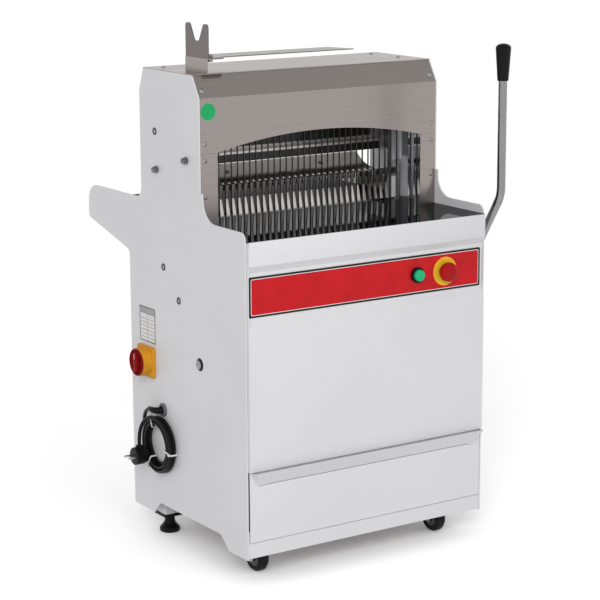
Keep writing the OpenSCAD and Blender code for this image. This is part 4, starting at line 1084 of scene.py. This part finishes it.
@dataclass
class Isolator:
    """The square isolator on the left panel, with its round collar and turning handle."""

    centre: Pair = (depth(393), 386.0)
    plate_x: float = -HALF_W - 8.0
    half: float = 33.0
    corner: float = 5.0
    edge: float = 1.2
    collar: Section = ((26.3, -0.6), (31.5, -0.6), (30.5, 1.6), (30.5, 17.4), (29.3, 19.0),
                       (27.1, 19.0), (26.3, 18.0), (26.3, -0.6))
    screw: Section = ((0.0, -1.0), (3.0, -1.0), (3.0, 0.3), (2.2, 0.6), (1.8, -0.4), (0.0, -0.4))
    screw_out: float = 28.0
    screw_steps: int = 20
    round_steps: int = 72
    knob: Section = ((0.0, -15.0), (4.0, -15.0), (4.0, 0.4), (26.0, 0.4), (26.0, 19.3),
                     (29.0, 19.3), (29.0, 21.4), (28.2, 22.2), (26.8, 22.0), (24.4, 17.0),
                     (0.0, 14.0))
    grip_x: Pair = (-HALF_W - 34.0, -HALF_W - 21.0)
    grip_y: float = 7.5
    grip_z: float = 24.0
    grip_edge: float = 2.8
    waist_x: float = -HALF_W - 29.0
    waist: Point = (1.0, 0.66, 0.86)
    mark_x: Pair = (-HALF_W - 34.12, -HALF_W - 33.4)
    mark_y: float = 0.9
    mark_z: Pair = (7.0, 18.0)
    mark_edge: float = 0.2

    def build(self) -> None:
        """Makes the housing, the handle and its pointer."""
        self.housing()
        self.handle()
        y, z = self.centre
        mark = Bench()
        mark.block((self.mark_x[0], y - self.mark_y, z + self.mark_z[0]),
                   (self.mark_x[1], y + self.mark_y, z + self.mark_z[1]), self.mark_edge)
        mark.finish("isolator_pointer", PALE_FILM, "isolator_knob", "white_paint")

    def housing(self) -> None:
        """Makes the square plate with its collar and screws."""
        y, z = self.centre
        bench = Bench()
        bench.plate((self.plate_x, y - self.half, z - self.half),
                    (-HALF_W, y + self.half, z + self.half), Axis.X, self.corner, self.edge)
        bench.turned(self.collar, Facing.LEFT.at((self.plate_x, y, z)), self.round_steps)
        for side in (-self.screw_out, self.screw_out):
            for rise in (-self.screw_out, self.screw_out):
                bench.turned(self.screw, Facing.LEFT.at((self.plate_x, y + side, z + rise)),
                             self.screw_steps)
        bench.finish("isolator_housing", AMBER_MOULDING, "cabinet", "yellow_plastic",
                     "isolator_plate")

    def handle(self) -> None:
        """Makes the dished knob with its waisted grip."""
        y, z = self.centre
        bench = Bench()
        bench.turned(self.knob, Facing.LEFT.at((self.plate_x, y, z)), self.round_steps)
        grip = bench.block((self.grip_x[0], y - self.grip_y, z - self.grip_z),
                           (self.grip_x[1], y + self.grip_y, z + self.grip_z), self.grip_edge, 4)
        waist = [vert for vert in grip if vert.co.x < self.waist_x]
        bmesh.ops.scale(bench.bm, vec=self.waist, verts=waist,
                        space=Matrix.Translation((0.0, -y, -z)))
        bench.finish("isolator_handle", DEEP_RED_MOULDING, "isolator_knob", "red_plastic",
                     "isolator_knob")


@dataclass
class Fixings:
    """The casing's socket screws and washers, cap nuts and the disc on the shaft's end."""

    head_d: float = 10.0
    head_h: float = 3.0
    socket_d: float = 4.4
    socket_z: float = 0.9
    head_steps: int = 6
    shank: Pair = (2.5, -6.0)
    screw_steps: int = 24
    screw_x: float = HALF_W - 13.4
    hood_z: tuple[float, ...] = (764.0, 837.0, 871.0)
    band_z: float = 976.0
    fold_z: float = 961.0
    band_run: float = 26.0
    band_rise: float = 44.0
    panel: Spots = ((depth(345), 879.0), (depth(258), 539.0), (depth(319), 600.0))
    cover: Spots = ((261.0, depth(263)), (261.0, depth(362)), (-261.0, depth(362)))
    washer: TurnedPiece = TurnedPiece(
        "panel_washers", WASHER_STEEL, "cabinet", "frame_steel", (),
        ((3.0, -0.2), (7.5, -0.2), (7.5, 0.9), (6.9, 1.4), (5.2, 1.4), (5.2, 0.6), (3.0, 0.6),
         (3.0, -0.2)), 36)
    nuts: Spots = ((depth(338), 801.0), (depth(217), 833.0))
    hexagon: Section = ((0.0, -1.0), (7.5, -1.0), (7.5, 6.0), (6.6, 6.6), (0.0, 6.6))
    dome: Section = ((0.0, 6.0), (6.2, 6.0), (6.2, 8.6), (5.7, 10.4), (4.4, 12.0), (2.4, 13.1),
                     (0.0, 13.5))
    dome_steps: int = 32
    shaft_end: Pair = (depth(177), 421.0)
    shaft_disc: TurnedPiece = TurnedPiece(
        "shaft_cap_disc", CHROME, "cabinet", "chrome", (),
        ((0.0, 2.0), (9.0, 2.0), (9.0, 3.6), (8.4, 4.0), (3.0, 4.3), (0.0, 4.35)), 40)

    def screw(self) -> Section:
        """Gives the section of a domed head with a socket.

        Returns:
            Radius and height of each point.
        """
        radius, height, socket = self.head_d / 2, self.head_h, self.socket_d / 2
        sphere = (radius * radius + height * height) / (2 * height)
        radii = [radius - (radius - socket) * i / self.head_steps
                 for i in range(self.head_steps + 1)]
        dome = [(r, height - sphere + math.sqrt(sphere * sphere - r * r)) for r in radii]
        shank_r, end = self.shank
        return ((0.0, end), (shank_r, end), (shank_r, 0.0), *dome, (socket, self.socket_z),
                (0.0, self.socket_z))

    def on_panel(self, side: int, spots: Spots) -> list[Matrix]:
        """Gives the places of fixings on a side panel.

        Args:
            side: -1 for the left panel, 1 for the right one.
            spots: Y and Z of each fixing.

        Returns:
            The places, looking outwards.
        """
        facing = Facing.RIGHT if side > 0 else Facing.LEFT
        return [facing.at((side * HALF_W, y, z)) for y, z in spots]

    def build(self) -> None:
        """Makes the fixings, those of a kind as one piece."""
        self.screws()
        self.washer.build(*(place for side in SIDES for place in self.on_panel(side, self.panel)))
        bench = Bench()
        for side in SIDES:
            for place in self.on_panel(side, self.nuts):
                bench.turned(self.hexagon, place, HEX_SIDES)
                bench.turned(self.dome, place, self.dome_steps)
        bench.finish("cap_nut_domes", NUT_PLATE, "cabinet", "bright_steel", "cap_nuts")
        self.shaft_disc.build(*self.on_panel(-1, (self.shaft_end,)))

    def screws(self) -> None:
        """Makes the screws of the cover, the hood's face and band, and the side panels."""
        lean = Matrix.Rotation(math.atan2(self.band_rise, self.band_run), 4, "X")
        band_y = HOOD_Y + self.band_run * (self.band_z - self.fold_z) / self.band_rise
        places = [Facing.UP.at((x, y, COVER_Z)) for x, y in self.cover]
        for side in SIDES:
            x = side * self.screw_x
            places += [Facing.FRONT.at((x, HOOD_Y, z)) for z in self.hood_z]
            places.append(Facing.UP.at((x, band_y, self.band_z)) @ lean)
            places += self.on_panel(side, self.panel)
        TurnedPiece("casing_screw_heads", ZINC, "cabinet", "bright_steel", ("casing_screws",),
                    self.screw(), self.screw_steps).build(*places)


@dataclass
class SawBlades:
    """The toothed blades of both frames."""

    count: int = 32
    pitch: float = 15.0
    thick: float = 0.8
    wide: float = 5.0
    low_z: float = 582.0
    high_z: float = 948.0
    tooth: float = 6.0
    gullet: float = 1.2
    front: float = depth(267)
    tang_h: float = 16.0
    lap: float = 0.5
    crease: float = 20.0
    bar_a: float = depth(249)
    bar_b: float = depth(273)

    def strip(self, bench: Bench, x: float) -> None:
        """Adds one blade with scalloped teeth on its rear edge.

        Args:
            bench: The mesh that takes the blade.
            x: Middle of the blade.
        """
        before = set(bench.bm.verts)
        rows = 2 * int((self.high_z - self.low_z) / self.tooth)
        half_w, half_h = self.wide / 2, (self.high_z - self.low_z) / 2
        place = Matrix(((0.0, 0.0, 1.0, x - self.thick / 2),
                        (half_w, 0.0, 0.0, self.front + half_w),
                        (0.0, half_h, 0.0, self.low_z + half_h),
                        (0.0, 0.0, 0.0, 1.0)))
        bmesh.ops.create_grid(bench.bm, x_segments=1, y_segments=rows, size=1.0, matrix=place)
        made = [vert for vert in bench.bm.verts if vert not in before]
        rear = [vert for vert in made if vert.co.y > self.front + half_w]
        edge = sorted(rear, key=lambda vert: vert.co.z)
        bmesh.ops.translate(bench.bm, vec=(0.0, -self.gullet, 0.0), verts=edge[::2])
        faces = list({face for vert in made for face in vert.link_faces})
        grown = bmesh.ops.extrude_face_region(bench.bm, geom=faces)["geom"]
        bmesh.ops.translate(bench.bm, vec=(self.thick, 0.0, 0.0),
                            verts=[item for item in grown if isinstance(item, bmesh.types.BMVert)])

    def tangs(self, bench: Bench, x: float, low_y: float, high_y: float) -> None:
        """Adds the ends that hook a blade to the bars of its frame.

        Args:
            bench: The mesh that takes the tangs.
            x: Middle of the blade.
            low_y: Front of the tangs.
            high_y: Back of the tangs.
        """
        half = self.thick / 2
        for z in (self.low_z, self.high_z - self.tang_h):
            bench.block((x - half, low_y, z), (x + half, high_y, z + self.tang_h))

    def build(self) -> None:
        """Makes the blades of each frame as one piece."""
        back = self.front + self.wide - self.gullet
        for name, first, low_y, high_y in (("a", 0, self.bar_a, self.front + self.lap),
                                           ("b", 1, back - self.lap, self.bar_b)):
            bench = Bench()
            for i in range(first, self.count, 2):
                x = (i - (self.count - 1) / 2) * self.pitch
                self.strip(bench, x)
                self.tangs(bench, x, low_y, high_y)
            bench.finish(f"toothed_blades_{name}", BLADE_STEEL, f"frame_{name}", "bright_steel",
                         f"blades_{name}", crease=self.crease)


@dataclass
class ChannelWalls:
    """Polished walls beside the mouth, and the pale flanges behind the blades."""

    sheet: float = 1.5
    soft: float = 0.25
    front_x: float = 270.0
    front: Pair = (depth(170.5), depth(234))
    bed_z: float = 700.0
    top_z: float = 890.0
    guide_x: float = 250.0
    under_z: float = 697.5
    flange_y: float = depth(282)
    flange_x: float = 272.0
    slot: Pair = (746.0, 782.0)
    guide_ends: Spots = ((depth(404), 746.0), (depth(606), 716.0))
    inner_x: float = 288.0

    def build(self) -> None:
        """Makes the walls of both sides."""
        walls, flanges = Bench(), Bench()
        back = self.flange_y + self.sheet
        for side in SIDES:
            self.sheet_on(walls, side, (self.front_x - self.sheet, self.front[0], self.bed_z),
                          (self.front_x, self.front[1], self.top_z))
            for end_y, top in self.guide_ends:
                self.sheet_on(walls, side, (self.guide_x, back, self.under_z),
                              (self.guide_x + self.sheet, end_y, top))
            self.sheet_on(flanges, side, (self.guide_x, self.flange_y, self.under_z),
                          (self.flange_x, back, self.slot[0]))
            self.sheet_on(flanges, side, (self.guide_x, self.flange_y, self.slot[1]),
                          (self.inner_x, back, self.top_z))
        walls.finish("channel_side_walls", WALL_SHEET, "cabinet", "polished_steel",
                     "channel_walls")
        flanges.finish("channel_flanges", FLANGE_PAINT, "cabinet", "white_paint")

    def sheet_on(self, bench: Bench, side: int, low: Point, high: Point) -> None:
        """Adds one sheet on a side.

        Args:
            bench: The mesh that takes the sheet.
            side: -1 for the left, 1 for the right.
            low: Lowest corner on the right side.
            high: Highest corner on the right side.
        """
        ends = sorted((side * low[0], side * high[0]))
        bench.block((ends[0], *low[1:]), (ends[1], *high[1:]), self.soft, 1)


@dataclass
class PusherDetails:
    """The rivets of the fingers, and the dark fixing screws on the curved shield."""

    fingers: int = 33
    pitch: float = 15.0
    rivet_at: Pair = (depth(292), 764.8)
    # the rivet heads' near-white finish is partly a painted highlight
    rivets: TurnedPiece = TurnedPiece(
        "finger_rivets", RIVET_ZINC_AND_HIGHLIGHT, "pusher", "bright_steel", (),
        ((0.0, 0.0), (2.9, 0.0), (2.9, 0.9), (2.4, 2.1), (1.3, 2.8), (0.0, 3.0)), 14)
    screw_x: float = 119.0
    screw_at: Pair = (depth(350), 778.5)
    screw_lean: float = 22.0
    screws: TurnedPiece = TurnedPiece(
        "shield_screws", FRAME_STEEL, "pusher", "frame_steel", (),
        ((0.0, -2.0), (6.0, -2.0), (6.0, 0.6), (4.8, 2.2), (2.4, 2.8), (2.2, 1.6), (0.0, 1.6)), 28)

    def build(self) -> None:
        """Makes the rivets and the shield's screws."""
        across = [(i - (self.fingers - 1) / 2) * self.pitch for i in range(self.fingers)]
        self.rivets.build(*(Facing.UP.at((x, *self.rivet_at)) for x in across))
        lean = Matrix.Rotation(math.radians(self.screw_lean), 4, "X")
        self.screws.build(*(Facing.UP.at((side * self.screw_x, *self.screw_at)) @ lean
                            for side in SIDES))


@dataclass
class Labels:
    """The bare ruled plate and the bare sticker of the casing."""

    plate_low: Pair = (depth(357), 425.0)
    plate_high: Pair = (depth(427), 504.0)
    plate_t: float = 0.5
    plate_corner: float = 2.0
    print_x: Pair = (-HALF_W - 0.6, -HALF_W - 0.45)
    rules: tuple[float, ...] = (436.0, 444.0, 452.0, 460.0, 468.0, 476.0, 488.0)
    rule: float = 0.35
    margin: float = 3.0
    frame: float = 0.9
    header: float = 14.0
    header_corner: float = 0.6
    dot_at: Point = (-272.0, HOOD_Y, 934.0)
    dot: TurnedPiece = TurnedPiece(
        "bare_sticker", GREEN_PAPER, "cabinet", "green_plastic", (),
        ((0.0, -0.2), (17.0, -0.2), (17.0, 0.2), (0.0, 0.25)), 56)

    def build(self) -> None:
        """Makes the ruled plate without entries and the round sticker."""
        plate = Bench()
        plate.plate((-HALF_W - self.plate_t, *self.plate_low), (-HALF_W, *self.plate_high),
                    Axis.X, self.plate_corner)
        plate.finish("bare_plate", PLATE_FOIL, "cabinet", "satin_steel")
        self.printing()
        self.dot.build(Facing.FRONT.at(self.dot_at))

    def printing(self) -> None:
        """Makes the frame, the empty rows and the header of the plate."""
        front, back = self.plate_low[0] + self.margin, self.plate_high[0] - self.margin
        low, high = self.plate_low[1] + self.margin, self.plate_high[1] - self.margin
        outer, inner = self.print_x
        rows = ((low, self.frame), *((z, self.rule) for z in self.rules), (high, self.frame))
        columns = ((front, self.frame, high), ((front + back) / 2, self.rule, self.rules[-1]),
                   (back, self.frame, high))
        rules = Bench()
        for z, half in rows:
            rules.block((outer, front, z - half), (inner, back, z + half))
        for y, half, top in columns:
            rules.block((outer, y - half, low), (inner, y + half, top))
        rules.finish("plate_rules", BLACK_FILM, "cabinet", "black_plastic")
        band = Bench()
        band.plate((outer, front + self.frame, high - self.header),
                   (inner, back - self.frame, high - self.frame), Axis.X, self.header_corner)
        band.finish("plate_header", HEADER_FILM, "cabinet", "grey_plastic")


@dataclass
class CasterHubs:
    """Pale hubs let into the wheels."""

    x: float = 226.0
    axle: Pair = (depth(74), 30.0)
    out: float = 9.0
    section: Section = ((9.4, -0.4), (19.2, -0.4), (19.2, 0.6), (18.0, 1.6), (15.6, 1.6),
                        (14.6, 0.5), (10.4, 0.5), (9.4, 1.4), (9.4, -0.4))

    def build(self) -> None:
        """Makes a pair of hub discs on each wheel."""
        for name, middle in (("left", -self.x), ("right", self.x)):
            hubs = TurnedPiece(f"hub_discs_{name}", GREY_MOULDING, f"wheel_{name}", "grey_plastic",
                               (), self.section)
            hubs.build(Facing.RIGHT.at((middle + self.out, *self.axle)),
                       Facing.LEFT.at((middle - self.out, *self.axle)))


@dataclass
class FootPads:
    """Black pads between the base blocks and the levelling feet."""

    x: float = 249.0
    y: float = depth(393)
    half: float = 24.5
    z: Pair = (38.0, 45.0)
    corner: float = 3.0
    edge: float = 0.8
    nut: Section = ((0.0, -6.0), (9.4, -6.0), (9.4, 1.0), (0.0, 1.0))

    def build(self) -> None:
        """Makes a pad with its nut at each foot."""
        bench = Bench()
        for x in (-self.x, self.x):
            bench.plate((x - self.half, self.y - self.half, self.z[0]),
                        (x + self.half, self.y + self.half, self.z[1]), Axis.Z,
                        self.corner, self.edge)
            bench.turned(self.nut, Facing.UP.at((x, self.y, self.z[0])), HEX_SIDES)
        bench.finish("foot_pads", BLACK_MOULDING, "cabinet", "black_plastic")


@dataclass
class FrontCap:
    """The upper face of the white front, which reaches the table's edge."""

    half_w: float = 290.4
    y: Pair = (depth(-9), depth(-7))
    z: Pair = (650.6, 699.5)
    edge: float = 0.6

    def build(self) -> None:
        """Makes the sheet over the table's folded lip."""
        bench = Bench()
        bench.block((-self.half_w, self.y[0], self.z[0]), (self.half_w, self.y[1], self.z[1]),
                    self.edge)
        bench.finish("front_cap", WHITE, "cabinet", "white_paint")


@dataclass
class DrawerFront:
    """The drawer's front sheet with its flared pull, and the wall behind the pull."""

    half_w: float = 288.5
    face_y: float = depth(-2)
    sheet: float = 1.5
    low_z: float = 90.0
    rim_z: float = 235.0
    tip: tuple[float, float, float] = (4.5, 20.0, 237.5)
    low: Pair = (37.0, 207.5)
    end: Pair = (20.6, 203.5)
    groove: float = 1.5
    crease: float = 20.0
    wall_y: Pair = (depth(1.5), depth(2.5))
    wall_low_z: float = 196.0
    wall_t: float = 1.0
    wall_edge: float = 0.2

    def build(self) -> None:
        """Makes the sheet and the wall."""
        bench = Bench()
        left, right = self.corners(bench, -1), self.corners(bench, 1)
        bench.bm.faces.new((left["foot"], right["foot"], right["rim"], right["end"], right["notch"],
                            left["notch"], left["end"], left["rim"]))
        bench.bm.faces.new((left["low"], right["low"], right["tip"], left["tip"]))
        for ends in (left, right):
            bench.bm.faces.new((ends["rim"], ends["end"], ends["tip"]))
            bench.bm.faces.new((ends["tip"], ends["end"], ends["low"]))
        bmesh.ops.recalc_face_normals(bench.bm, faces=bench.bm.faces)
        back = bmesh.ops.extrude_face_region(bench.bm, geom=list(bench.bm.faces))["geom"]
        bmesh.ops.translate(bench.bm, vec=(0.0, self.sheet, 0.0),
                            verts=[part for part in back if isinstance(part, bmesh.types.BMVert)])
        bench.finish("drawer_sheet", WHITE, "drawer", "white_paint", "drawer_front",
                     crease=self.crease)
        self.wall()

    def corners(self, bench: Bench, side: int) -> dict[str, bmesh.types.BMVert]:
        """Adds the outer points of one end.

        Args:
            bench: The mesh that takes the points.
            side: -1 for the left, 1 for the right.

        Returns:
            The points by name.
        """
        places = {"foot": (0.0, 0.0, self.low_z), "rim": (0.0, 0.0, self.rim_z), "tip": self.tip,
                  "low": (self.low[0], 0.0, self.low[1]), "end": (self.end[0], 0.0, self.end[1]),
                  "notch": (self.low[0], 0.0, self.low[1] - self.groove)}
        return {name: bench.bm.verts.new((side * (self.half_w - inward), self.face_y - forward, z))
                for name, (inward, forward, z) in places.items()}

    def wall(self) -> None:
        """Makes the wall that the fingers meet behind the pull."""
        bench = Bench()
        thin, low_z, high_z = self.wall_t, self.wall_low_z, self.rim_z
        half, front_y, (wall_y, back_y) = self.half_w - thin, self.face_y + self.sheet, self.wall_y
        for low, high in (((-half, wall_y, low_z), (half, back_y, high_z)),
                          ((-half, front_y, low_z), (half, back_y, low_z + thin)),
                          ((-half, front_y, low_z), (thin - half, back_y, high_z)),
                          ((half - thin, front_y, low_z), (half, back_y, high_z))):
            bench.block(low, high, self.wall_edge, 1)
        bench.finish("pull_wall", WHITE, "drawer", "white_paint")


class LampKind(Enum):
    """A kind of light, by its name in Blender."""

    SUN = "SUN"
    DISK = "AREA"


@dataclass(frozen=True)
class Lamp:
    """A soft light that mirrors don't show."""

    name: str
    kind: LampKind
    power: float
    source: Point
    target: Point
    breadth: float

    def build(self) -> None:
        """Makes the light, with its breadth in degrees for a sun and in metres for a disk."""
        data = bpy.data.lights.new(self.name, self.kind.value)
        data.energy = self.power
        if self.kind is LampKind.SUN:
            data.angle = math.radians(self.breadth)
        else:
            data.shape = "DISK"
            data.size = self.breadth
        lamp = bpy.data.objects.new(self.name, data)
        lamp.location = Vector(self.source)
        lamp.visible_glossy = False
        lamp.rotation_mode = "QUATERNION"
        aim = Vector(self.target) - Vector(self.source)
        lamp.rotation_quaternion = aim.to_track_quat("-Z", "Y")
        bpy.context.scene.collection.objects.link(lamp)


@dataclass
class Studio:
    """The camera, the floor and the soft light."""

    eye: Point = (-2.2670, -3.4913, 1.3949)
    yaw: float = 33.44
    pitch: float = 12.40
    roll: float = -0.244
    lens: float = 118.85
    sensor: float = 36.0
    far: float = 200.0
    shift: Pair = (-0.0049, 0.0133)
    floor_half: float = 30.0
    floor_tone: Point = (0.8, 0.8, 0.8, 1.0)
    floor_lift: Point = (1.3, 1.3, 1.3, 1.0)
    floor_glow: float = 0.06
    sky: Point = (1.0, 1.0, 1.0, 1.0)
    ambient: float = 0.6
    zenith: float = 0.64
    fade: Pair = (0.3, 0.6)
    lamps: tuple[Lamp, ...] = (
        Lamp("key_light", LampKind.SUN, 0.88, (-2.0, -2.4, 1.8), (0.0, 0.0, 0.0), 22.0),
        Lamp("mouth_light", LampKind.DISK, 4.4, (-0.5, -1.6, 1.0), (0.0, 0.0, 0.8), 0.7))

    def build(self) -> None:
        """Makes everything that isn't the machine."""
        self.camera()
        self.floor()
        self.world()
        for lamp in self.lamps:
            lamp.build()

    def camera(self) -> None:
        """Makes the camera where the photograph was taken from."""
        yaw, pitch, roll = (math.radians(v) for v in (self.yaw, self.pitch, self.roll))
        right = Vector((math.cos(yaw), -math.sin(yaw), 0.0))
        ahead = Vector((math.sin(yaw) * math.cos(pitch), math.cos(yaw) * math.cos(pitch),
                        -math.sin(pitch)))
        up = right.cross(ahead)
        side = math.cos(roll) * right + math.sin(roll) * up
        top = math.cos(roll) * up - math.sin(roll) * right
        data = bpy.data.cameras.new("photo_camera")
        data.sensor_width = self.sensor
        data.lens = self.lens
        data.shift_x, data.shift_y = self.shift
        data.clip_end = self.far
        camera = bpy.data.objects.new("photo_camera", data)
        turn = Matrix((side, top, -ahead)).transposed().to_4x4()
        camera.matrix_world = Matrix.Translation(Vector(self.eye)) @ turn
        bpy.context.scene.collection.objects.link(camera)
        bpy.context.scene.camera = camera

    def by_ray(self, nodes: Wiring, output: str, lighting: Socket, seen: Socket) -> None:
        """Ends a tree with one shader for what is seen and one for the light that it sends.

        Args:
            nodes: The tree that takes the nodes.
            output: Type of its output.
            lighting: Shader for the light on the machine.
            seen: Shader for camera, mirror and glass rays.
        """
        path = nodes.add("LightPath").outputs
        direct = path["Is Camera Ray"]
        for name in ("Is Glossy Ray", "Is Transmission Ray"):
            direct = nodes.maths(Maths.MAXIMUM, direct, path[name])
        mix = nodes.add("MixShader", direct, lighting, seen)
        nodes.add(output, Surface=mix.outputs["Shader"])

    def floor(self) -> None:
        """Makes the pale floor, lifted to white where it is looked at."""
        bm = bmesh.new()
        bmesh.ops.create_grid(bm, x_segments=2, y_segments=2, size=self.floor_half)
        mesh = bpy.data.meshes.new("floor")
        bm.to_mesh(mesh)
        bm.free()
        material = bpy.data.materials.new("pale_floor")
        material.use_nodes = True
        nodes = Wiring(material.node_tree)
        matte = nodes.add("BsdfDiffuse", Color=self.floor_tone)
        lifted = nodes.add("BsdfDiffuse", Color=self.floor_lift)
        glow = nodes.add("Emission", Strength=self.floor_glow)
        seen = nodes.add("AddShader", lifted.outputs["BSDF"], glow.outputs["Emission"])
        self.by_ray(nodes, "OutputMaterial", matte.outputs["BSDF"], seen.outputs["Shader"])
        mesh.materials.append(material)
        floor = bpy.data.objects.new("floor", mesh)
        bpy.context.scene.collection.objects.link(floor)

    def world(self) -> None:
        """Makes the surroundings: white round the machine, dimmer overhead, softer as light."""
        world = bpy.data.worlds.new("studio")
        bpy.context.scene.world = world
        world.use_nodes = True
        nodes = Wiring(world.node_tree)
        height = nodes.add("SeparateXYZ", Vector=nodes.add("TexCoord").outputs["Generated"])
        fade = nodes.spread(height.outputs["Z"], *self.fade, 1.0, self.zenith)
        light = nodes.add("Background", Color=self.sky, Strength=self.ambient)
        white = nodes.add("Background", Color=self.sky, Strength=fade)
        self.by_ray(nodes, "OutputWorld", light.outputs["Background"], white.outputs["Background"])


def main() -> None:
    """Builds the scene: camera and lead first, then the rest of the machine."""
    logging.basicConfig(level=logging.INFO, format="%(message)s")
    bpy.context.scene.view_settings.view_transform = "Standard"
    Studio().build()
    MainsLead().build()
    PAINTS.dress_solids()
    for assembly in (ControlFascia(), Isolator(), Fixings(), SawBlades(), ChannelWalls(),
                     PusherDetails(), Labels(), CasterHubs(), FootPads(), FrontCap(),
                     DrawerFront()):
        LOG.info("building %s", type(assembly).__name__)
        assembly.build()


if __name__ == "__main__":
    main()
